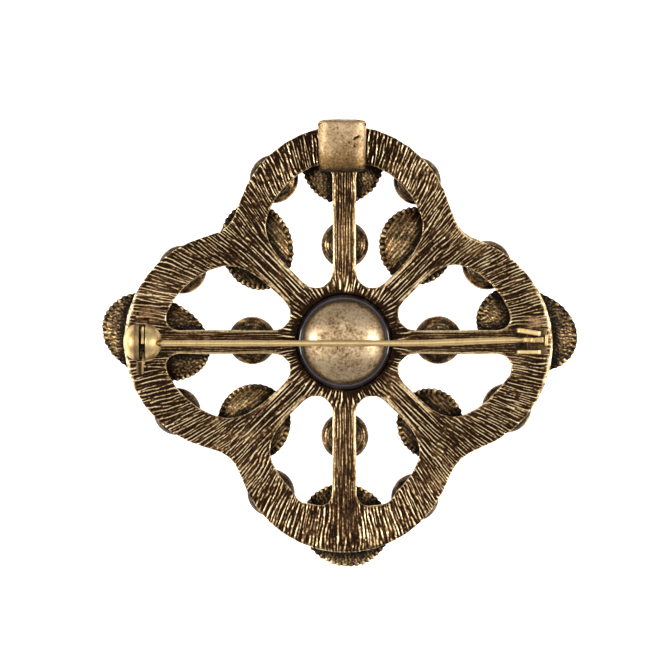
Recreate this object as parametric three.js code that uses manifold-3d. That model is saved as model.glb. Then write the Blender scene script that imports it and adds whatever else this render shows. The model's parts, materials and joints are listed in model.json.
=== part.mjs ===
// An openwork brooch of antiqued brass, lying face down: a four-lobed ring on eight spokes,
// cups soldered to its front, and a hinged pin, a safety catch and a bail on its back.
// Millimetres, +Z up. Places are measured from the middle of the hub until the last lines,
// which put the origin under the middle of the whole brooch.
import * as THREE from "three";
import { mergeVertices } from "three/addons/utils/BufferGeometryUtils.js";
import Module from "manifold-3d";

const wasm = await Module();
wasm.setup();

// Heights above the surface that the brooch lies on
const FRAME_FRONT = 4.0;
const FRAME_BACK = 6.2;
const PIN_HEIGHT = 9.2;

// The ring: each lobe is a band between two circles, placed along a ray from the hub and to the side of it
const LOBES = [
  {
    turn: 0,
    outer: { reach: 13.8, side: -0.35, radius: 15.35 },
    inner: { reach: 12.65, side: 0.2, radius: 11.4 },
  },
  {
    turn: 90,
    outer: { reach: 15.0, side: 0, radius: 15.3 },
    inner: { reach: 14.15, side: 0, radius: 11.5 },
  },
  {
    turn: 180,
    outer: { reach: 15.6, side: 0, radius: 15.2 },
    inner: { reach: 14.8, side: 0, radius: 11.0 },
  },
  {
    turn: 270,
    outer: { reach: 14.25, side: 0.1, radius: 15.2 },
    inner: { reach: 12.6, side: 0.1, radius: 11.2 },
  },
];
const CORNER_BLEND = 4.0;
const SPOKES = 8;
const STRAIGHT_SPOKE_WIDTH = 2.96;
const DIAGONAL_SPOKE_WIDTH = 3.36;
const SPOKE_TO_RING_BLEND = 3.0;
const SPOKE_TO_HUB_BLEND = 2.6;
const HUB_RADIUS = 8.35;
const HUB_HOLE_RADIUS = 6.9;
const FRAME_BEVEL = 0.25;

// Tracing the outline of the ring: how many rays, how far they look, and how far a chord may leave the curve
const OUTLINE_RAYS = 720;
const OUTLINE_TOLERANCE = 0.06;
const OUTLINE_PRECISION = 1e-5;
const OUTER_SEARCH = 40;
const WINDOW_SEARCH = 14;
const WINDOW_MIDDLE_REACH = 16.5;
const HOLE_SEARCH = 10;

// The boss in the hub: a dome behind in a low collar, a neck through the hole, and a wider dome in front
const DOME_RADIUS = 5.95;
const DOME_FOOT = 5.6;
const DOME_TOP = 8.6;
const DOME_STEPS = 6;
const COLLAR_RADIUS = 6.7;
const COLLAR_EDGE_HEIGHT = 5.3;
const COLLAR_CREST_RADIUS = 6.15;
const COLLAR_CREST_HEIGHT = 5.75;
const SHOULDER_RADIUS = 7.7;
const SHOULDER_DEPTH = 0.8;
const BOSS_FRONT_HEIGHT = 0.35;
const BOSS_FRONT_FLAT_RADIUS = 2.2;
const BOSS_FRONT_STEPS = 4;
const BOSS_SIDES = 24;

// Scalloped cups: levels below and above the toothed rim, as shares of its radius and of the height between
const TOOTH_DEPTH = 0.24;
const TOOTH_PITCH = 0.95;
const CUP_RIM_LOW = 2.3;
const CUP_RIM_HIGH = 2.9;
const CUP_FRONT_LEVELS = [
  { share: 0.32, height: 0 },
  { share: 0.8, height: 0.5 },
];
const CUP_BACK_LEVELS = [
  { share: 0.86, height: 0.62 },
  { share: 0.64, height: 1 },
];
const LOBE_CUP_FRONT = 0;
const LOBE_CUPS = [
  { name: "lobe_cup_top", x: -0.2, y: 25.3, along: 5.85, across: 5.75, turn: 71 },
  { name: "lobe_cup_bottom", x: 0.19, y: -25.72, along: 6.25, across: 5.65, turn: -21 },
  { name: "lobe_cup_left", x: -26.31, y: 0.44, along: 7.7, across: 5.6, turn: -23 },
  { name: "lobe_cup_right", x: 25.43, y: 1.86, along: 7.05, across: 5.75, turn: -26 },
];
const CORNER_CUP_FRONT = 0.3;
const CORNER_CUPS = [
  { name: "corner_cup_top_left", x: -12.36, y: 13.44, along: 6.2, across: 5.1, turn: 106 },
  { name: "corner_cup_top_right", x: 10.13, y: 13.53, along: 5.5, across: 5.2, turn: 101 },
  { name: "corner_cup_bottom_left", x: -12.71, y: -11.36, along: 5.4, across: 5.1, turn: 80 },
  { name: "corner_cup_bottom_right", x: 12.14, y: -11.51, along: 5.0, across: 4.7, turn: 106 },
];

// Small round cups: levels from front to back, as shares of the radius and of the depth
const SMALL_CUP_FRONT = 0.8;
const SMALL_CUP_SIDES = 12;
const SMALL_CUP_LEVELS = [
  { share: 0.4, height: 0 },
  { share: 0.84, height: 0.22 },
  { share: 1, height: 0.52 },
  { share: 0.82, height: 0.82 },
  { share: 0.45, height: 1 },
];
const SMALL_CUPS = [
  { name: "spoke_cup_top", x: 0.1, y: 13.75, radius: 3.25 },
  { name: "spoke_cup_bottom", x: 0.1, y: -13.28, radius: 3.25 },
  { name: "spoke_cup_left", x: -13.0, y: 0.2, radius: 3.3 },
  { name: "spoke_cup_right", x: 13.24, y: 0.27, radius: 3.32 },
  { name: "ring_cup_1", x: 20.1, y: 10.85, radius: 3.38 },
  { name: "ring_cup_2", x: 10.3, y: 22.71, radius: 3.26 },
  { name: "ring_cup_3", x: -9.92, y: 23.01, radius: 3.35 },
  { name: "ring_cup_4", x: -22.85, y: 10.22, radius: 3.34 },
  { name: "ring_cup_5", x: -23.58, y: -9.82, radius: 3.25 },
  { name: "ring_cup_6", x: -10.33, y: -21.27, radius: 3.26 },
  { name: "ring_cup_7", x: 9.98, y: -21.93, radius: 3.28 },
  { name: "ring_cup_8", x: 22.91, y: -9.33, radius: 3.4 },
];

// The bail: a strap bent over the upper lobe, hooked over its outer edge and standing on the top spoke
const BAIL_MIDDLE_X = -0.3;
const BAIL_WIDTH = 6.8;
const BAIL_THICKNESS = 0.9;
const BAIL_OUTER_Y = 31.2;
const BAIL_INNER_Y = 23.75;
const BAIL_TOP = 9.8;
const BAIL_HOOK_HEIGHT = 4.8;
const BAIL_BEND = 1.7;
const BAIL_BEND_STEPS = 5;
const BAIL_EDGE = 0.3;

// The safety catch: a ball split by a slot, on a foot with two legs, and notched for the end of the pin
const CATCH_X = -28.15;
const CATCH_SLOT = 0.87;
const CATCH_RADIUS = 2.5;
const CATCH_HALF_DEPTH = 2.25;
const CATCH_CORE_RADIUS = 1.1;
const CATCH_SIDES = 20;
const CATCH_STEPS = 5;
const CATCH_FOOT_LENGTH = 4.6;
const CATCH_FOOT_WIDTH = 2.4;
const CATCH_FOOT_HEIGHT = 0.4;
const CATCH_LEG_END = 1.725;
const CATCH_LEG_WIDTH = 1.92;
const CATCH_LEG_HEIGHT = 1.6;
const NOTCH_WIDTH = 0.96;
const NOTCH_DEPTH_BELOW_PIN = 0.6;
const NOTCH_PAST_TIP = 0.12;

// The lever in the slot: a C-shaped plate with a broad thumb tab
const LEVER_THICKNESS = 0.5;
const LEVER_RADIUS = 2.3;
const LEVER_BORE_RADIUS = 1.3;
const LEVER_TOP_ANGLE = 97;
const LEVER_TAB_ANGLE = -165;
const LEVER_ARC_STEPS = 18;
const TAB_START = 2.65;
const TAB_REACH = 4.6;
const TAB_BREADTH = 0.95;
const TAB_HEIGHT = 0.6;
const TAB_SHIFT = -0.4;

// The pin joint: two ears on a floor plate with an end wall, and the rivet through them
const RIVET_X = 25.75;
const RIVET_RADIUS = 0.45;
const RIVET_SIDES = 12;
const RIVET_PROUD = 0.2;
const EAR_START_X = 24.0;
const EAR_END_X = 27.45;
const EAR_ABOVE_RIVET = 1.1;
const EAR_CORNER_RADIUS = 0.6;
const EAR_CORNER_STEPS = 5;
const UPPER_EAR_Y = [1.06, 1.72];
const UPPER_EAR_TURN = -9;
const LOWER_EAR_Y = [-1.66, -1.12];
const JOINT_FLOOR_Y = [-1.7, 1.95];
const JOINT_FLOOR_HEIGHT = 0.4;
const END_WALL_X = [27.98, 28.42];
const END_WALL_Y = [-0.5, 1.0];
const END_WALL_TOP = 9.5;

// The pin: a round wire with a point, flattened to an eye and a short tail at the rivet
const PIN_RADIUS = 0.42;
const PIN_TIP_X = -26.5;
const PIN_TIP_RADIUS = 0.14;
const PIN_TAPER_LENGTH = 1.3;
const PIN_SIDES = 8;
const PIN_STEPS = 10;
const PIN_LINE_Y = -0.18;
const PIN_BOW = 0.48;
const PIN_BOW_START_X = 8;
const WIRE_END_X = 25.05;
const EYE_RADIUS = 1.0;
const EYE_SIDES = 20;
const EYE_HOLE_RADIUS = 0.6;
const EYE_HOLE_SIDES = 16;
const EYE_THICKNESS = 0.75;
const TAIL_END_X = 27.8;
const TAIL_HEIGHT = 0.8;

const DEGREES = Math.PI / 180;
const SAME_CORNER = 1e-4;

// Booleans on closed geometry

function solidOf(geometry) {
  const bare = new THREE.BufferGeometry();
  const flat = geometry.index ? geometry.toNonIndexed() : geometry;
  bare.setAttribute("position", flat.getAttribute("position"));
  const merged = mergeVertices(bare, SAME_CORNER);
  return new wasm.Manifold(
    new wasm.Mesh({
      numProp: 3,
      vertProperties: new Float32Array(merged.attributes.position.array),
      triVerts: new Uint32Array(merged.index.array),
    }),
  );
}

function geometryOf(solid) {
  const mesh = solid.getMesh();
  const geometry = new THREE.BufferGeometry();
  geometry.setAttribute("position", new THREE.BufferAttribute(new Float32Array(mesh.vertProperties), 3));
  geometry.setIndex(new THREE.BufferAttribute(new Uint32Array(mesh.triVerts), 1));
  return geometry;
}

function joined(geometries) {
  return geometryOf(geometries.map(solidOf).reduce((whole, piece) => whole.add(piece)));
}

function cut(geometry, tool) {
  return geometryOf(solidOf(geometry).subtract(solidOf(tool)));
}

// Plain building blocks

function blockBetween(low, high) {
  const size = new THREE.Vector3().subVectors(high, low);
  const middle = new THREE.Vector3().addVectors(low, high).multiplyScalar(0.5);
  return new THREE.BoxGeometry(size.x, size.y, size.z).translate(middle.x, middle.y, middle.z);
}

// A shape drawn in X and Z, as a plate between two values of Y
function plateAlongY(shape, lowY, highY, curveSegments) {
  const plate = new THREE.ExtrudeGeometry(shape, { depth: highY - lowY, bevelEnabled: false, curveSegments });
  return plate.rotateX(Math.PI / 2).translate(0, highY, 0);
}

// A shape drawn in Y and Z, as a plate centred on X = 0
function plateAlongX(shape, width, edge, curveSegments) {
  const plate = new THREE.ExtrudeGeometry(shape, {
    depth: width - 2 * edge,
    bevelEnabled: edge > 0,
    bevelThickness: edge,
    bevelSize: edge,
    bevelOffset: -edge,
    bevelSegments: 1,
    curveSegments,
  });
  const turned = new THREE.Matrix4().makeBasis(
    new THREE.Vector3(0, 1, 0),
    new THREE.Vector3(0, 0, 1),
    new THREE.Vector3(1, 0, 0),
  );
  return plate.translate(0, 0, edge - width / 2).applyMatrix4(turned);
}

// A closed skin over a stack of rings, which may have different numbers of points
function stackOfRings(rings) {
  const positions = [];
  const addTriangle = (a, b, c) => [a, b, c].forEach((point) => positions.push(point.x, point.y, point.z));
  const middleOf = (ring) => {
    const sum = ring.reduce((total, point) => total.add(point), new THREE.Vector3());
    return sum.divideScalar(ring.length);
  };
  for (let level = 0; level + 1 < rings.length; level += 1) {
    const low = rings[level];
    const high = rings[level + 1];
    let i = 0;
    let j = 0;
    while (i < low.length || j < high.length) {
      const lowNow = low[i % low.length];
      const highNow = high[j % high.length];
      if (j >= high.length || (i < low.length && (i + 1) / low.length <= (j + 1) / high.length)) {
        i += 1;
        addTriangle(lowNow, low[i % low.length], highNow);
      } else {
        j += 1;
        addTriangle(lowNow, high[j % high.length], highNow);
      }
    }
  }
  const first = rings[0];
  const last = rings[rings.length - 1];
  const firstMiddle = middleOf(first);
  const lastMiddle = middleOf(last);
  first.forEach((point, n) => addTriangle(firstMiddle, first[(n + 1) % first.length], point));
  last.forEach((point, n) => addTriangle(lastMiddle, point, last[(n + 1) % last.length]));
  const geometry = new THREE.BufferGeometry();
  geometry.setAttribute("position", new THREE.BufferAttribute(new Float32Array(positions), 3));
  return mergeVertices(geometry, SAME_CORNER);
}

// The outline of the frame, as a smooth field that is negative in the metal

function smoothLeast(a, b, blend) {
  const share = Math.max(blend - Math.abs(a - b), 0) / blend;
  return Math.min(a, b) - (share * share * blend) / 4;
}

function turnedPoint(x, y, turn) {
  const c = Math.cos(turn * DEGREES);
  const s = Math.sin(turn * DEGREES);
  return [x * c + y * s, y * c - x * s];
}

function circleField(x, y, turn, circle) {
  const [along, side] = turnedPoint(x, y, turn);
  return Math.hypot(along - circle.reach, side - circle.side) - circle.radius;
}

function outerField(x, y) {
  const lobeFields = LOBES.map((lobe) => circleField(x, y, lobe.turn, lobe.outer));
  return lobeFields.reduce((whole, field) => smoothLeast(whole, field, CORNER_BLEND));
}

function ringField(x, y) {
  return -Math.min(...LOBES.map((lobe) => circleField(x, y, lobe.turn, lobe.inner)));
}

function spokeField(x, y) {
  let least = Infinity;
  for (let n = 0; n < SPOKES; n += 1) {
    const [along, side] = turnedPoint(x, y, (360 / SPOKES) * n);
    const width = n % 2 ? DIAGONAL_SPOKE_WIDTH : STRAIGHT_SPOKE_WIDTH;
    least = Math.min(least, Math.max(Math.abs(side) - width / 2, -along));
  }
  return least;
}

function metalField(x, y) {
  const wheel = smoothLeast(spokeField(x, y), Math.hypot(x, y) - HUB_RADIUS, SPOKE_TO_HUB_BLEND);
  return smoothLeast(wheel, ringField(x, y), SPOKE_TO_RING_BLEND);
}

// Walks round a middle and finds where the field changes sign on each ray
function tracedOutline(field, middleX, middleY, farthest) {
  const sideAtMiddle = Math.sign(field(middleX, middleY));
  const points = [];
  for (let ray = 0; ray < OUTLINE_RAYS; ray += 1) {
    const angle = (2 * Math.PI * ray) / OUTLINE_RAYS;
    const at = (reach) => [middleX + reach * Math.cos(angle), middleY + reach * Math.sin(angle)];
    let near = 0;
    let far = farthest;
    while (far - near > OUTLINE_PRECISION) {
      const middle = (near + far) / 2;
      if (Math.sign(field(...at(middle))) === sideAtMiddle) near = middle;
      else far = middle;
    }
    points.push(new THREE.Vector2(...at(near)));
  }
  return points;
}

// Leaves out the points that lie on the chord of their neighbours
function fewestPoints(points) {
  const offChord = (p, a, b) => {
    const along = new THREE.Vector2().subVectors(b, a).normalize();
    return Math.abs(along.cross(new THREE.Vector2().subVectors(p, a)));
  };
  const kept = [points[0]];
  let start = 0;
  for (let end = 2; end < points.length; end += 1) {
    const between = points.slice(start + 1, end);
    if (between.some((p) => offChord(p, points[start], points[end]) > OUTLINE_TOLERANCE)) {
      start = end - 1;
      kept.push(points[start]);
    }
  }
  return kept;
}

function frameGeometry() {
  const shape = new THREE.Shape(fewestPoints(tracedOutline(outerField, 0, 0, OUTER_SEARCH)));
  for (let n = 0; n < SPOKES; n += 1) {
    const angle = (360 / SPOKES) * (n + 0.5) * DEGREES;
    const middle = [WINDOW_MIDDLE_REACH * Math.cos(angle), WINDOW_MIDDLE_REACH * Math.sin(angle)];
    shape.holes.push(new THREE.Path(fewestPoints(tracedOutline(metalField, ...middle, WINDOW_SEARCH))));
  }
  const hubHole = (x, y) => Math.hypot(x, y) - HUB_HOLE_RADIUS;
  shape.holes.push(new THREE.Path(fewestPoints(tracedOutline(hubHole, 0, 0, HOLE_SEARCH))));
  const frame = new THREE.ExtrudeGeometry(shape, {
    depth: FRAME_BACK - FRAME_FRONT - 2 * FRAME_BEVEL,
    bevelEnabled: true,
    bevelThickness: FRAME_BEVEL,
    bevelSize: FRAME_BEVEL,
    bevelOffset: -FRAME_BEVEL,
    bevelSegments: 1,
    curveSegments: 1,
  });
  return frame.translate(0, 0, FRAME_FRONT + FRAME_BEVEL);
}

// The boss

function bossGeometry() {
  const profile = [new THREE.Vector2(0, BOSS_FRONT_HEIGHT)];
  const frontReach = SHOULDER_RADIUS - BOSS_FRONT_FLAT_RADIUS;
  const frontDepth = FRAME_FRONT - SHOULDER_DEPTH - BOSS_FRONT_HEIGHT;
  for (let n = 0; n <= BOSS_FRONT_STEPS; n += 1) {
    const angle = ((n / BOSS_FRONT_STEPS) * Math.PI) / 2;
    const radius = BOSS_FRONT_FLAT_RADIUS + frontReach * Math.sin(angle);
    profile.push(new THREE.Vector2(radius, BOSS_FRONT_HEIGHT + frontDepth * (1 - Math.cos(angle))));
  }
  profile.push(new THREE.Vector2(SHOULDER_RADIUS, FRAME_FRONT));
  profile.push(new THREE.Vector2(COLLAR_RADIUS, FRAME_FRONT));
  profile.push(new THREE.Vector2(COLLAR_RADIUS, COLLAR_EDGE_HEIGHT));
  profile.push(new THREE.Vector2(COLLAR_CREST_RADIUS, COLLAR_CREST_HEIGHT));
  for (let n = 0; n < DOME_STEPS; n += 1) {
    const angle = ((n / DOME_STEPS) * Math.PI) / 2;
    const height = DOME_FOOT + (DOME_TOP - DOME_FOOT) * Math.sin(angle);
    profile.push(new THREE.Vector2(DOME_RADIUS * Math.cos(angle), height));
  }
  profile.push(new THREE.Vector2(0, DOME_TOP));
  return new THREE.LatheGeometry(profile, BOSS_SIDES).rotateX(Math.PI / 2);
}

// The cups

function cupRing(cup, count, share, height, toothDepth) {
  const ring = [];
  for (let n = 0; n < count; n += 1) {
    const angle = (2 * Math.PI * n) / count;
    const inset = n % 2 ? toothDepth : 0;
    const along = cup.along * share - inset;
    const across = cup.across * share - inset;
    ring.push(new THREE.Vector3(along * Math.cos(angle), across * Math.sin(angle), height));
  }
  return ring;
}

function scallopedCupGeometry(cup, front) {
  const aroundRim = Math.PI * (cup.along + cup.across);
  const teeth = 2 * Math.round(aroundRim / TOOTH_PITCH / 2);
  const plainPoints = teeth / 2;
  const rimPoints = 2 * teeth;
  const levelBetween = ({ share, height }, low, high) =>
    cupRing(cup, plainPoints, share, low + (high - low) * height, 0);
  return stackOfRings([
    ...CUP_FRONT_LEVELS.map((level) => levelBetween(level, front, CUP_RIM_LOW)),
    cupRing(cup, rimPoints, 1, CUP_RIM_LOW, TOOTH_DEPTH),
    cupRing(cup, rimPoints, 1, CUP_RIM_HIGH, TOOTH_DEPTH),
    ...CUP_BACK_LEVELS.map((level) => levelBetween(level, CUP_RIM_HIGH, FRAME_FRONT)),
  ]);
}

function smallCupGeometry(cup) {
  const round = { along: cup.radius, across: cup.radius };
  const depth = FRAME_FRONT - SMALL_CUP_FRONT;
  const rings = SMALL_CUP_LEVELS.map(({ share, height }) =>
    cupRing(round, SMALL_CUP_SIDES, share, SMALL_CUP_FRONT + depth * height, 0),
  );
  return stackOfRings(rings);
}

// The bail

function bailGeometry() {
  const innerBend = BAIL_BEND - BAIL_THICKNESS;
  const ceiling = BAIL_TOP - BAIL_THICKNESS;
  const shape = new THREE.Shape();
  shape.moveTo(BAIL_OUTER_Y - BAIL_THICKNESS, BAIL_HOOK_HEIGHT);
  shape.lineTo(BAIL_OUTER_Y, BAIL_HOOK_HEIGHT);
  shape.absarc(BAIL_OUTER_Y - BAIL_BEND, BAIL_TOP - BAIL_BEND, BAIL_BEND, 0, Math.PI / 2, false);
  shape.absarc(BAIL_INNER_Y + BAIL_BEND, BAIL_TOP - BAIL_BEND, BAIL_BEND, Math.PI / 2, Math.PI, false);
  shape.lineTo(BAIL_INNER_Y, FRAME_BACK);
  shape.lineTo(BAIL_INNER_Y + BAIL_THICKNESS, FRAME_BACK);
  shape.absarc(BAIL_INNER_Y + BAIL_BEND, ceiling - innerBend, innerBend, Math.PI, Math.PI / 2, true);
  shape.absarc(BAIL_OUTER_Y - BAIL_BEND, ceiling - innerBend, innerBend, Math.PI / 2, 0, true);
  shape.closePath();
  return plateAlongX(shape, BAIL_WIDTH, BAIL_EDGE, BAIL_BEND_STEPS).translate(BAIL_MIDDLE_X, 0, 0);
}

// The catch

function ballGeometry() {
  const half = [];
  for (let n = 0; n <= CATCH_STEPS; n += 1) {
    const angle = ((n / CATCH_STEPS) * Math.PI) / 2;
    const reach = CATCH_SLOT / 2 + CATCH_HALF_DEPTH * Math.cos(angle);
    half.push(new THREE.Vector2(CATCH_RADIUS * Math.sin(angle), -reach));
  }
  half.push(new THREE.Vector2(CATCH_CORE_RADIUS, -CATCH_SLOT / 2));
  const otherHalf = half.map((point) => new THREE.Vector2(point.x, -point.y)).reverse();
  return new THREE.LatheGeometry([...half, ...otherHalf], CATCH_SIDES)
    .rotateZ(-Math.PI / 2)
    .translate(CATCH_X, 0, PIN_HEIGHT);
}

function catchHousingGeometry() {
  const foot = blockBetween(
    new THREE.Vector3(CATCH_X - CATCH_FOOT_LENGTH / 2, -CATCH_FOOT_WIDTH / 2, FRAME_BACK),
    new THREE.Vector3(CATCH_X + CATCH_FOOT_LENGTH / 2, CATCH_FOOT_WIDTH / 2, FRAME_BACK + CATCH_FOOT_HEIGHT),
  );
  const legs = [-1, 1].map((side) => {
    const ends = [CATCH_X + (side * CATCH_SLOT) / 2, CATCH_X + side * CATCH_LEG_END];
    return blockBetween(
      new THREE.Vector3(Math.min(...ends), -CATCH_LEG_WIDTH / 2, FRAME_BACK),
      new THREE.Vector3(Math.max(...ends), CATCH_LEG_WIDTH / 2, FRAME_BACK + CATCH_LEG_HEIGHT),
    );
  });
  const beyond = 2 * CATCH_RADIUS;
  const notchFloor = PIN_HEIGHT - NOTCH_DEPTH_BELOW_PIN;
  const notch = blockBetween(
    new THREE.Vector3(PIN_TIP_X - NOTCH_PAST_TIP, PIN_LINE_Y - NOTCH_WIDTH / 2, notchFloor),
    new THREE.Vector3(CATCH_X + beyond, PIN_LINE_Y + NOTCH_WIDTH / 2, PIN_HEIGHT + beyond),
  );
  return cut(joined([ballGeometry(), foot, ...legs]), notch);
}

function arcPoints(radius, from, to) {
  const points = [];
  for (let n = 0; n <= LEVER_ARC_STEPS; n += 1) {
    const angle = (from + ((to - from) * n) / LEVER_ARC_STEPS) * DEGREES;
    points.push(new THREE.Vector2(radius * Math.cos(angle), radius * Math.sin(angle)));
  }
  return points;
}

function catchLeverGeometry() {
  const tabWay = new THREE.Vector2(Math.cos(LEVER_TAB_ANGLE * DEGREES), Math.sin(LEVER_TAB_ANGLE * DEGREES));
  const tabSide = new THREE.Vector2(-tabWay.y, tabWay.x).multiplyScalar(TAB_HEIGHT / 2);
  const tabEnd = tabWay.clone().multiplyScalar(TAB_REACH);
  const tabSpread = Math.asin(TAB_HEIGHT / 2 / LEVER_RADIUS) / DEGREES;
  const shape = new THREE.Shape([
    ...arcPoints(LEVER_RADIUS, LEVER_TOP_ANGLE, LEVER_TAB_ANGLE + tabSpread),
    tabEnd.clone().add(tabSide),
    tabEnd.clone().sub(tabSide),
    ...arcPoints(LEVER_BORE_RADIUS, LEVER_TAB_ANGLE - tabSpread, LEVER_TOP_ANGLE),
  ]);
  const plate = plateAlongX(shape, LEVER_THICKNESS, 0, 1);
  const tab = new THREE.BoxGeometry(TAB_BREADTH, TAB_REACH - TAB_START, TAB_HEIGHT)
    .translate(TAB_SHIFT, (TAB_START + TAB_REACH) / 2, 0)
    .rotateX(LEVER_TAB_ANGLE * DEGREES);
  return joined([plate, tab]).translate(CATCH_X, 0, PIN_HEIGHT);
}

// The pin joint

function earShape() {
  const cornerHeight = PIN_HEIGHT + EAR_ABOVE_RIVET - EAR_CORNER_RADIUS;
  const shape = new THREE.Shape();
  shape.moveTo(EAR_START_X, FRAME_BACK);
  shape.lineTo(EAR_END_X, FRAME_BACK);
  shape.absarc(EAR_END_X - EAR_CORNER_RADIUS, cornerHeight, EAR_CORNER_RADIUS, 0, Math.PI / 2, false);
  shape.absarc(EAR_START_X + EAR_CORNER_RADIUS, cornerHeight, EAR_CORNER_RADIUS, Math.PI / 2, Math.PI, false);
  shape.closePath();
  return shape;
}

function pinJointGeometry() {
  const lowerEar = plateAlongY(earShape(), LOWER_EAR_Y[0], LOWER_EAR_Y[1], EAR_CORNER_STEPS);
  const upperMiddle = (UPPER_EAR_Y[0] + UPPER_EAR_Y[1]) / 2;
  const upperEar = plateAlongY(earShape(), UPPER_EAR_Y[0], UPPER_EAR_Y[1], EAR_CORNER_STEPS)
    .translate(-RIVET_X, -upperMiddle, 0)
    .rotateZ(UPPER_EAR_TURN * DEGREES)
    .translate(RIVET_X, upperMiddle, 0);
  const floor = blockBetween(
    new THREE.Vector3(EAR_START_X, JOINT_FLOOR_Y[0], FRAME_BACK),
    new THREE.Vector3(END_WALL_X[1], JOINT_FLOOR_Y[1], FRAME_BACK + JOINT_FLOOR_HEIGHT),
  );
  const endWall = blockBetween(
    new THREE.Vector3(END_WALL_X[0], END_WALL_Y[0], FRAME_BACK),
    new THREE.Vector3(END_WALL_X[1], END_WALL_Y[1], END_WALL_TOP),
  );
  const rivetLow = LOWER_EAR_Y[0] - RIVET_PROUD;
  const rivetHigh = UPPER_EAR_Y[1] + RIVET_PROUD;
  const rivet = new THREE.CylinderGeometry(RIVET_RADIUS, RIVET_RADIUS, rivetHigh - rivetLow, RIVET_SIDES)
    .translate(RIVET_X, (rivetLow + rivetHigh) / 2, PIN_HEIGHT);
  return joined([lowerEar, upperEar, floor, endWall, rivet]);
}

// The pin

function pinLineY(x) {
  return PIN_LINE_Y + PIN_BOW * THREE.MathUtils.smoothstep(x, PIN_BOW_START_X, RIVET_X);
}

function wireRing(x, radius) {
  const ring = [];
  for (let n = 0; n < PIN_SIDES; n += 1) {
    const angle = (2 * Math.PI * n) / PIN_SIDES;
    const y = pinLineY(x) + radius * Math.cos(angle);
    ring.push(new THREE.Vector3(x, y, PIN_HEIGHT + radius * Math.sin(angle)));
  }
  return ring;
}

function pinGeometry() {
  const rings = [wireRing(PIN_TIP_X, PIN_TIP_RADIUS)];
  const wireStart = PIN_TIP_X + PIN_TAPER_LENGTH;
  for (let n = 0; n <= PIN_STEPS; n += 1) {
    rings.push(wireRing(wireStart + ((WIRE_END_X - wireStart) * n) / PIN_STEPS, PIN_RADIUS));
  }
  const wire = stackOfRings(rings);
  const eyeMiddle = pinLineY(RIVET_X);
  const eye = new THREE.CylinderGeometry(EYE_RADIUS, EYE_RADIUS, EYE_THICKNESS, EYE_SIDES)
    .translate(RIVET_X, eyeMiddle, PIN_HEIGHT);
  const tail = blockBetween(
    new THREE.Vector3(RIVET_X, eyeMiddle - EYE_THICKNESS / 2, PIN_HEIGHT - TAIL_HEIGHT / 2),
    new THREE.Vector3(TAIL_END_X, eyeMiddle + EYE_THICKNESS / 2, PIN_HEIGHT + TAIL_HEIGHT / 2),
  );
  const throughEye = 4 * EYE_THICKNESS;
  const hole = new THREE.CylinderGeometry(EYE_HOLE_RADIUS, EYE_HOLE_RADIUS, throughEye, EYE_HOLE_SIDES)
    .translate(RIVET_X, eyeMiddle, PIN_HEIGHT);
  return cut(joined([wire, eye, tail]), hole);
}

// Materials and the whole brooch

function brass(colour, roughness) {
  return new THREE.MeshStandardMaterial({ color: colour, roughness, metalness: 1 });
}

const CAST_BRASS = ["#7d6440", 0.5];
const DARK_BRASS = ["#5a4327", 0.55];
const SATIN_BRASS = ["#9a8059", 0.35];
const YELLOW_BRASS = ["#b89a5e", 0.3];

const brooch = new THREE.Group();

function addPiece(name, geometry, [colour, roughness]) {
  const mesh = new THREE.Mesh(geometry, brass(colour, roughness));
  mesh.name = name;
  brooch.add(mesh);
  return mesh;
}

function addScallopedCups(cups, front) {
  for (const cup of cups) {
    const mesh = addPiece(cup.name, scallopedCupGeometry(cup, front), DARK_BRASS);
    mesh.position.set(cup.x, cup.y, 0);
    mesh.rotation.z = cup.turn * DEGREES;
  }
}

addPiece("frame", frameGeometry(), CAST_BRASS);
addPiece("centre_boss", bossGeometry(), SATIN_BRASS);
addScallopedCups(LOBE_CUPS, LOBE_CUP_FRONT);
addScallopedCups(CORNER_CUPS, CORNER_CUP_FRONT);
for (const cup of SMALL_CUPS) {
  addPiece(cup.name, smallCupGeometry(cup), DARK_BRASS).position.set(cup.x, cup.y, 0);
}
addPiece("bail", bailGeometry(), SATIN_BRASS);
addPiece("catch_housing", catchHousingGeometry(), YELLOW_BRASS);
addPiece("catch_lever", catchLeverGeometry(), YELLOW_BRASS);
addPiece("pin_joint", pinJointGeometry(), YELLOW_BRASS);
addPiece("pin", pinGeometry(), YELLOW_BRASS);

// The origin goes under the middle of the brooch, on the surface it lies on
const extent = new THREE.Box3().setFromObject(brooch, true);
const middle = extent.getCenter(new THREE.Vector3());
brooch.position.set(-middle.x, -middle.y, -extent.min.z);

const part = new THREE.Group();
part.add(brooch);
export default part;
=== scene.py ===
# An openwork brooch of antiqued brass, lying face down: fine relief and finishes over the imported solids.
# Mesh code works in millimetres, and Blender's own values are metres.
import json
import math

import bmesh
import bpy
import numpy as np
from mathutils import Matrix, Vector, geometry


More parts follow.
